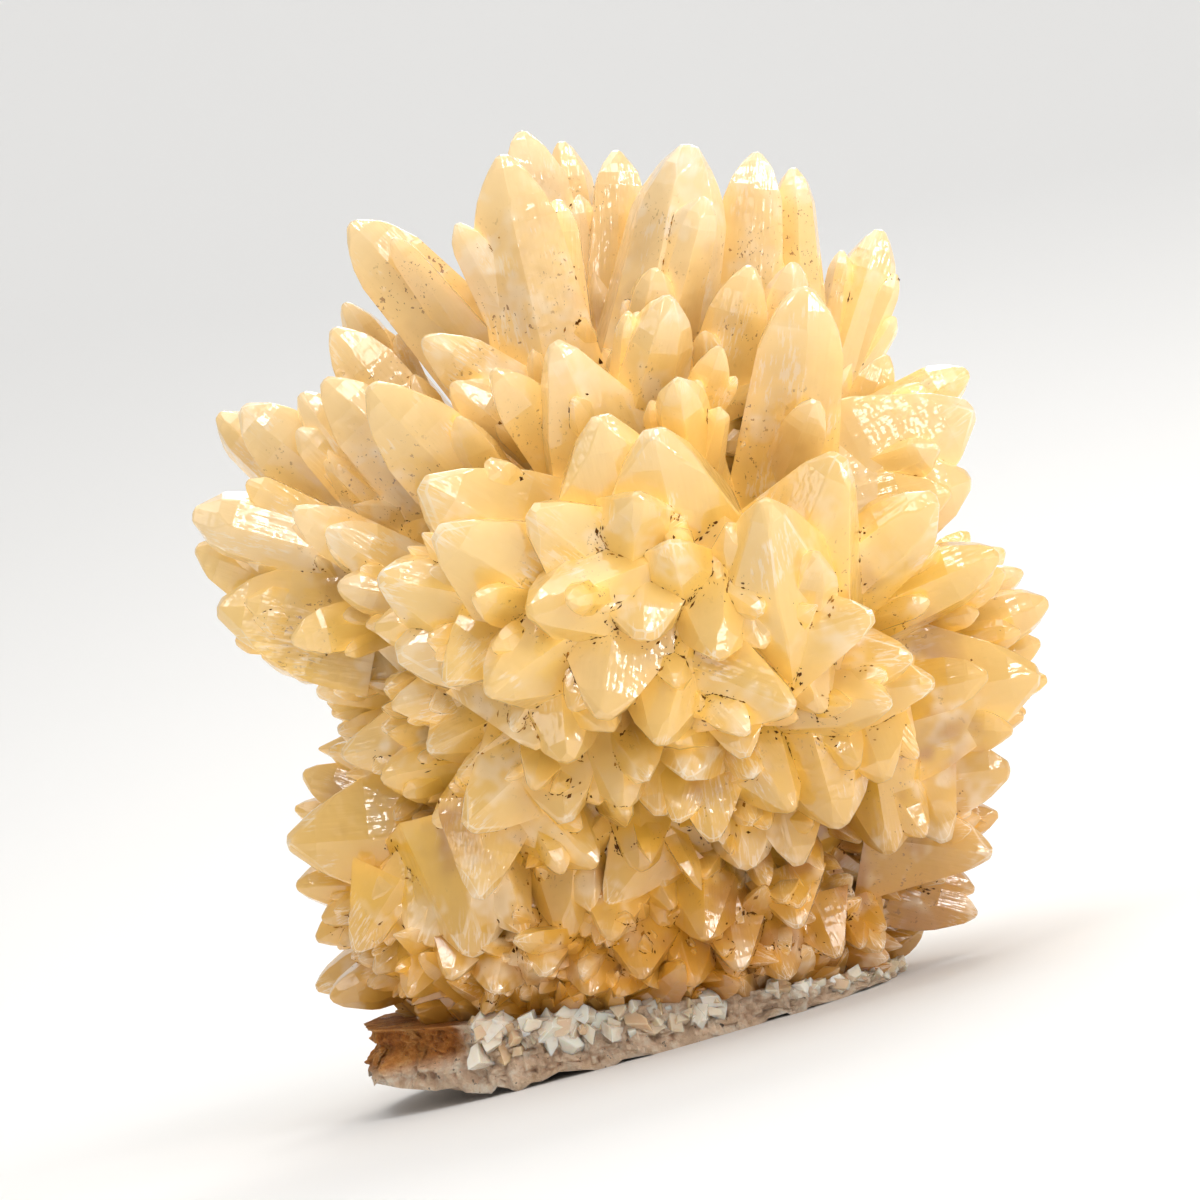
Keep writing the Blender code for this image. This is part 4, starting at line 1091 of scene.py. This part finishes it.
def crevice_dirt():
    """Brown-black dirt, with rust among it."""
    shader = Shader("crevice_dirt")
    surface = shader.surface.inputs
    tint = shader.attribute("tint")
    shader.put(surface["Base Color"], shader.gradient(
        tint, (0.0, (0.085, 0.030, 0.006)), (0.45, (0.20, 0.075, 0.014)), (1.0, (0.50, 0.21, 0.03)),
    ))
    surface["Roughness"].default_value = 0.9
    surface["Specular IOR Level"].default_value = 0.1
    return shader.material


def pale_rock():
    """Gritty pale rock, brown at its left end, with dark mineral specks and bright cleavage glints."""
    shader = Shader("pale_rock")
    surface = shader.surface.inputs
    split = shader.node("ShaderNodeSeparateXYZ", Vector=shader.place())
    ragged = shader.math("MULTIPLY", shader.noise(300, 4, 0.7), 0.004)
    across = shader.math("ADD", split.outputs["X"], ragged)
    patches = shader.noise(520, 8, 0.78)
    grey = shader.gradient(
        patches, (0.32, (0.56, 0.35, 0.20)), (0.5, (0.86, 0.61, 0.42)), (0.64, (0.97, 0.84, 0.68)),
    )
    brown = shader.gradient(
        patches, (0.32, (0.24, 0.07, 0.008)), (0.5, (0.56, 0.20, 0.03)), (0.66, (0.84, 0.44, 0.13)),
    )
    upper = shader.ramp(split.outputs["Z"], 0.0022, 0.0034)
    left = shader.math("MULTIPLY", shader.ramp(across, -0.0138, -0.0150), upper)
    colour = shader.blend(left, grey, brown)
    specks = shader.ramp(shader.noise(2400, 2, 0.6), 0.66, 0.72)
    colour = shader.blend(shader.math("MULTIPLY", specks, 0.75), colour, (0.07, 0.05, 0.04))
    shader.put(surface["Base Color"], colour)
    glint = shader.ramp(shader.noise(1300, 3), 0.6, 0.66)
    shader.put(surface["Roughness"], shader.math("SUBTRACT", 0.8, shader.math("MULTIPLY", glint, 0.6)))
    surface["Subsurface Weight"].default_value = 0.3
    surface["Subsurface Radius"].default_value = (1.0, 0.8, 0.6)
    surface["Subsurface Scale"].default_value = 0.0008
    coarse = shader.bump(shader.noise(1300, 8, 0.75), 0.0006, 0.8)
    shader.put(surface["Normal"], shader.bump(shader.cracks(3200), 0.0002, 0.5, coarse))
    return shader.material


def plain(name, colour, roughness):
    shader = Shader(name)
    shader.surface.inputs["Base Color"].default_value = (*colour, 1)
    shader.surface.inputs["Roughness"].default_value = roughness
    return shader.material


def studio():
    """A pale floor that sweeps up into a pale wall behind."""
    bm = bmesh.new()
    turns = [math.pi / 2 * k / 24 for k in range(1, 25)]
    profile = [(-1.2, 0.0), (0.2, 0.0)]
    profile += [(0.2 + 0.6 * math.sin(turn), 0.6 - 0.6 * math.cos(turn)) for turn in turns]
    profile += [(0.8, 1.6)]
    rows = [[bm.verts.new((side, y, z)) for y, z in profile] for side in (-1.8, 1.8)]
    for k in range(len(profile) - 1):
        bm.faces.new((rows[0][k], rows[1][k], rows[1][k + 1], rows[0][k + 1]))
    floor = mesh_object("studio_floor", bm, bpy.context.scene.collection)
    floor.data.shade_smooth()
    floor.data.materials.append(plain("pale_floor", (0.93, 0.925, 0.915), 0.8))


def area_light(name, place, aim, size, power, colour=(1, 1, 1)):
    data = bpy.data.lights.new(name, "AREA")
    data.size = size
    data.energy = power
    data.color = colour
    lamp = bpy.data.objects.new(name, data)
    lamp.location = place
    lamp.rotation_euler = (Vector(aim) - Vector(place)).to_track_quat("-Z", "Y").to_euler()
    bpy.context.scene.collection.objects.link(lamp)


def lighting():
    world = bpy.context.scene.world or bpy.data.worlds.new("studio")
    bpy.context.scene.world = world
    world.use_nodes = True
    background = world.node_tree.nodes["Background"]
    background.inputs["Color"].default_value = (1.0, 0.995, 0.985, 1)
    background.inputs["Strength"].default_value = 0.40
    middle = (0, 0, 0.03)
    area_light("window", (0.20, -0.34, 0.34), middle, 0.15, 0.28, (1.0, 0.985, 0.96))
    area_light("behind", (0.08, 0.26, 0.30), middle, 0.2, 0.5, (1.0, 0.97, 0.92))
    for index, (azimuth, elevation, power) in enumerate(SMALL_LAMPS):
        turn, rise = math.radians(azimuth), math.radians(elevation)
        way = Vector((math.sin(turn) * math.cos(rise), -math.cos(turn) * math.cos(rise), math.sin(rise)))
        area_light(f"small_lamp_{index}", Vector(middle) + way * LAMP_DISTANCE, middle, LAMP_SIZE, power)
    area_light("wall_wash", (0.0, 0.1, 1.1), (0, 0.78, 0.25), 0.9, 4.0)


def camera():
    data = bpy.data.cameras.new("camera")
    data.sensor_width = SENSOR
    data.lens = SENSOR * CAMERA_DISTANCE / PICTURE_WIDTH
    data.clip_start = 0.01
    eye = bpy.data.objects.new("camera", data)
    bpy.context.scene.collection.objects.link(eye)
    upright = Matrix.Rotation(REST_LEAN, 4, "Y") @ Matrix.Rotation(math.pi / 2, 4, "X")
    eye.matrix_world = Matrix.Translation(row_matrix() @ Vector((0, -CAMERA_DISTANCE, 0))) @ upright
    bpy.context.scene.camera = eye


def dress(piece, material, node):
    piece.data.materials.clear()
    piece.data.materials.append(material)
    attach(piece, BODY)
    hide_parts(node)


cluster = crystal_cluster()
dress(seam_dirt(cluster), crevice_dirt(), "calcite_crystals")
dress(cluster, honey_calcite(), "calcite_crystals")
dress(rock_skin(), pale_rock(), "matrix_wedge")
dress(white_druse(), white_calcite(), "matrix_wedge")
studio()
lighting()
camera()
bpy.context.scene.view_settings.view_transform = "Standard"
bpy.context.scene.cycles.diffuse_bounces = 2
bpy.context.scene.cycles.glossy_bounces = 2
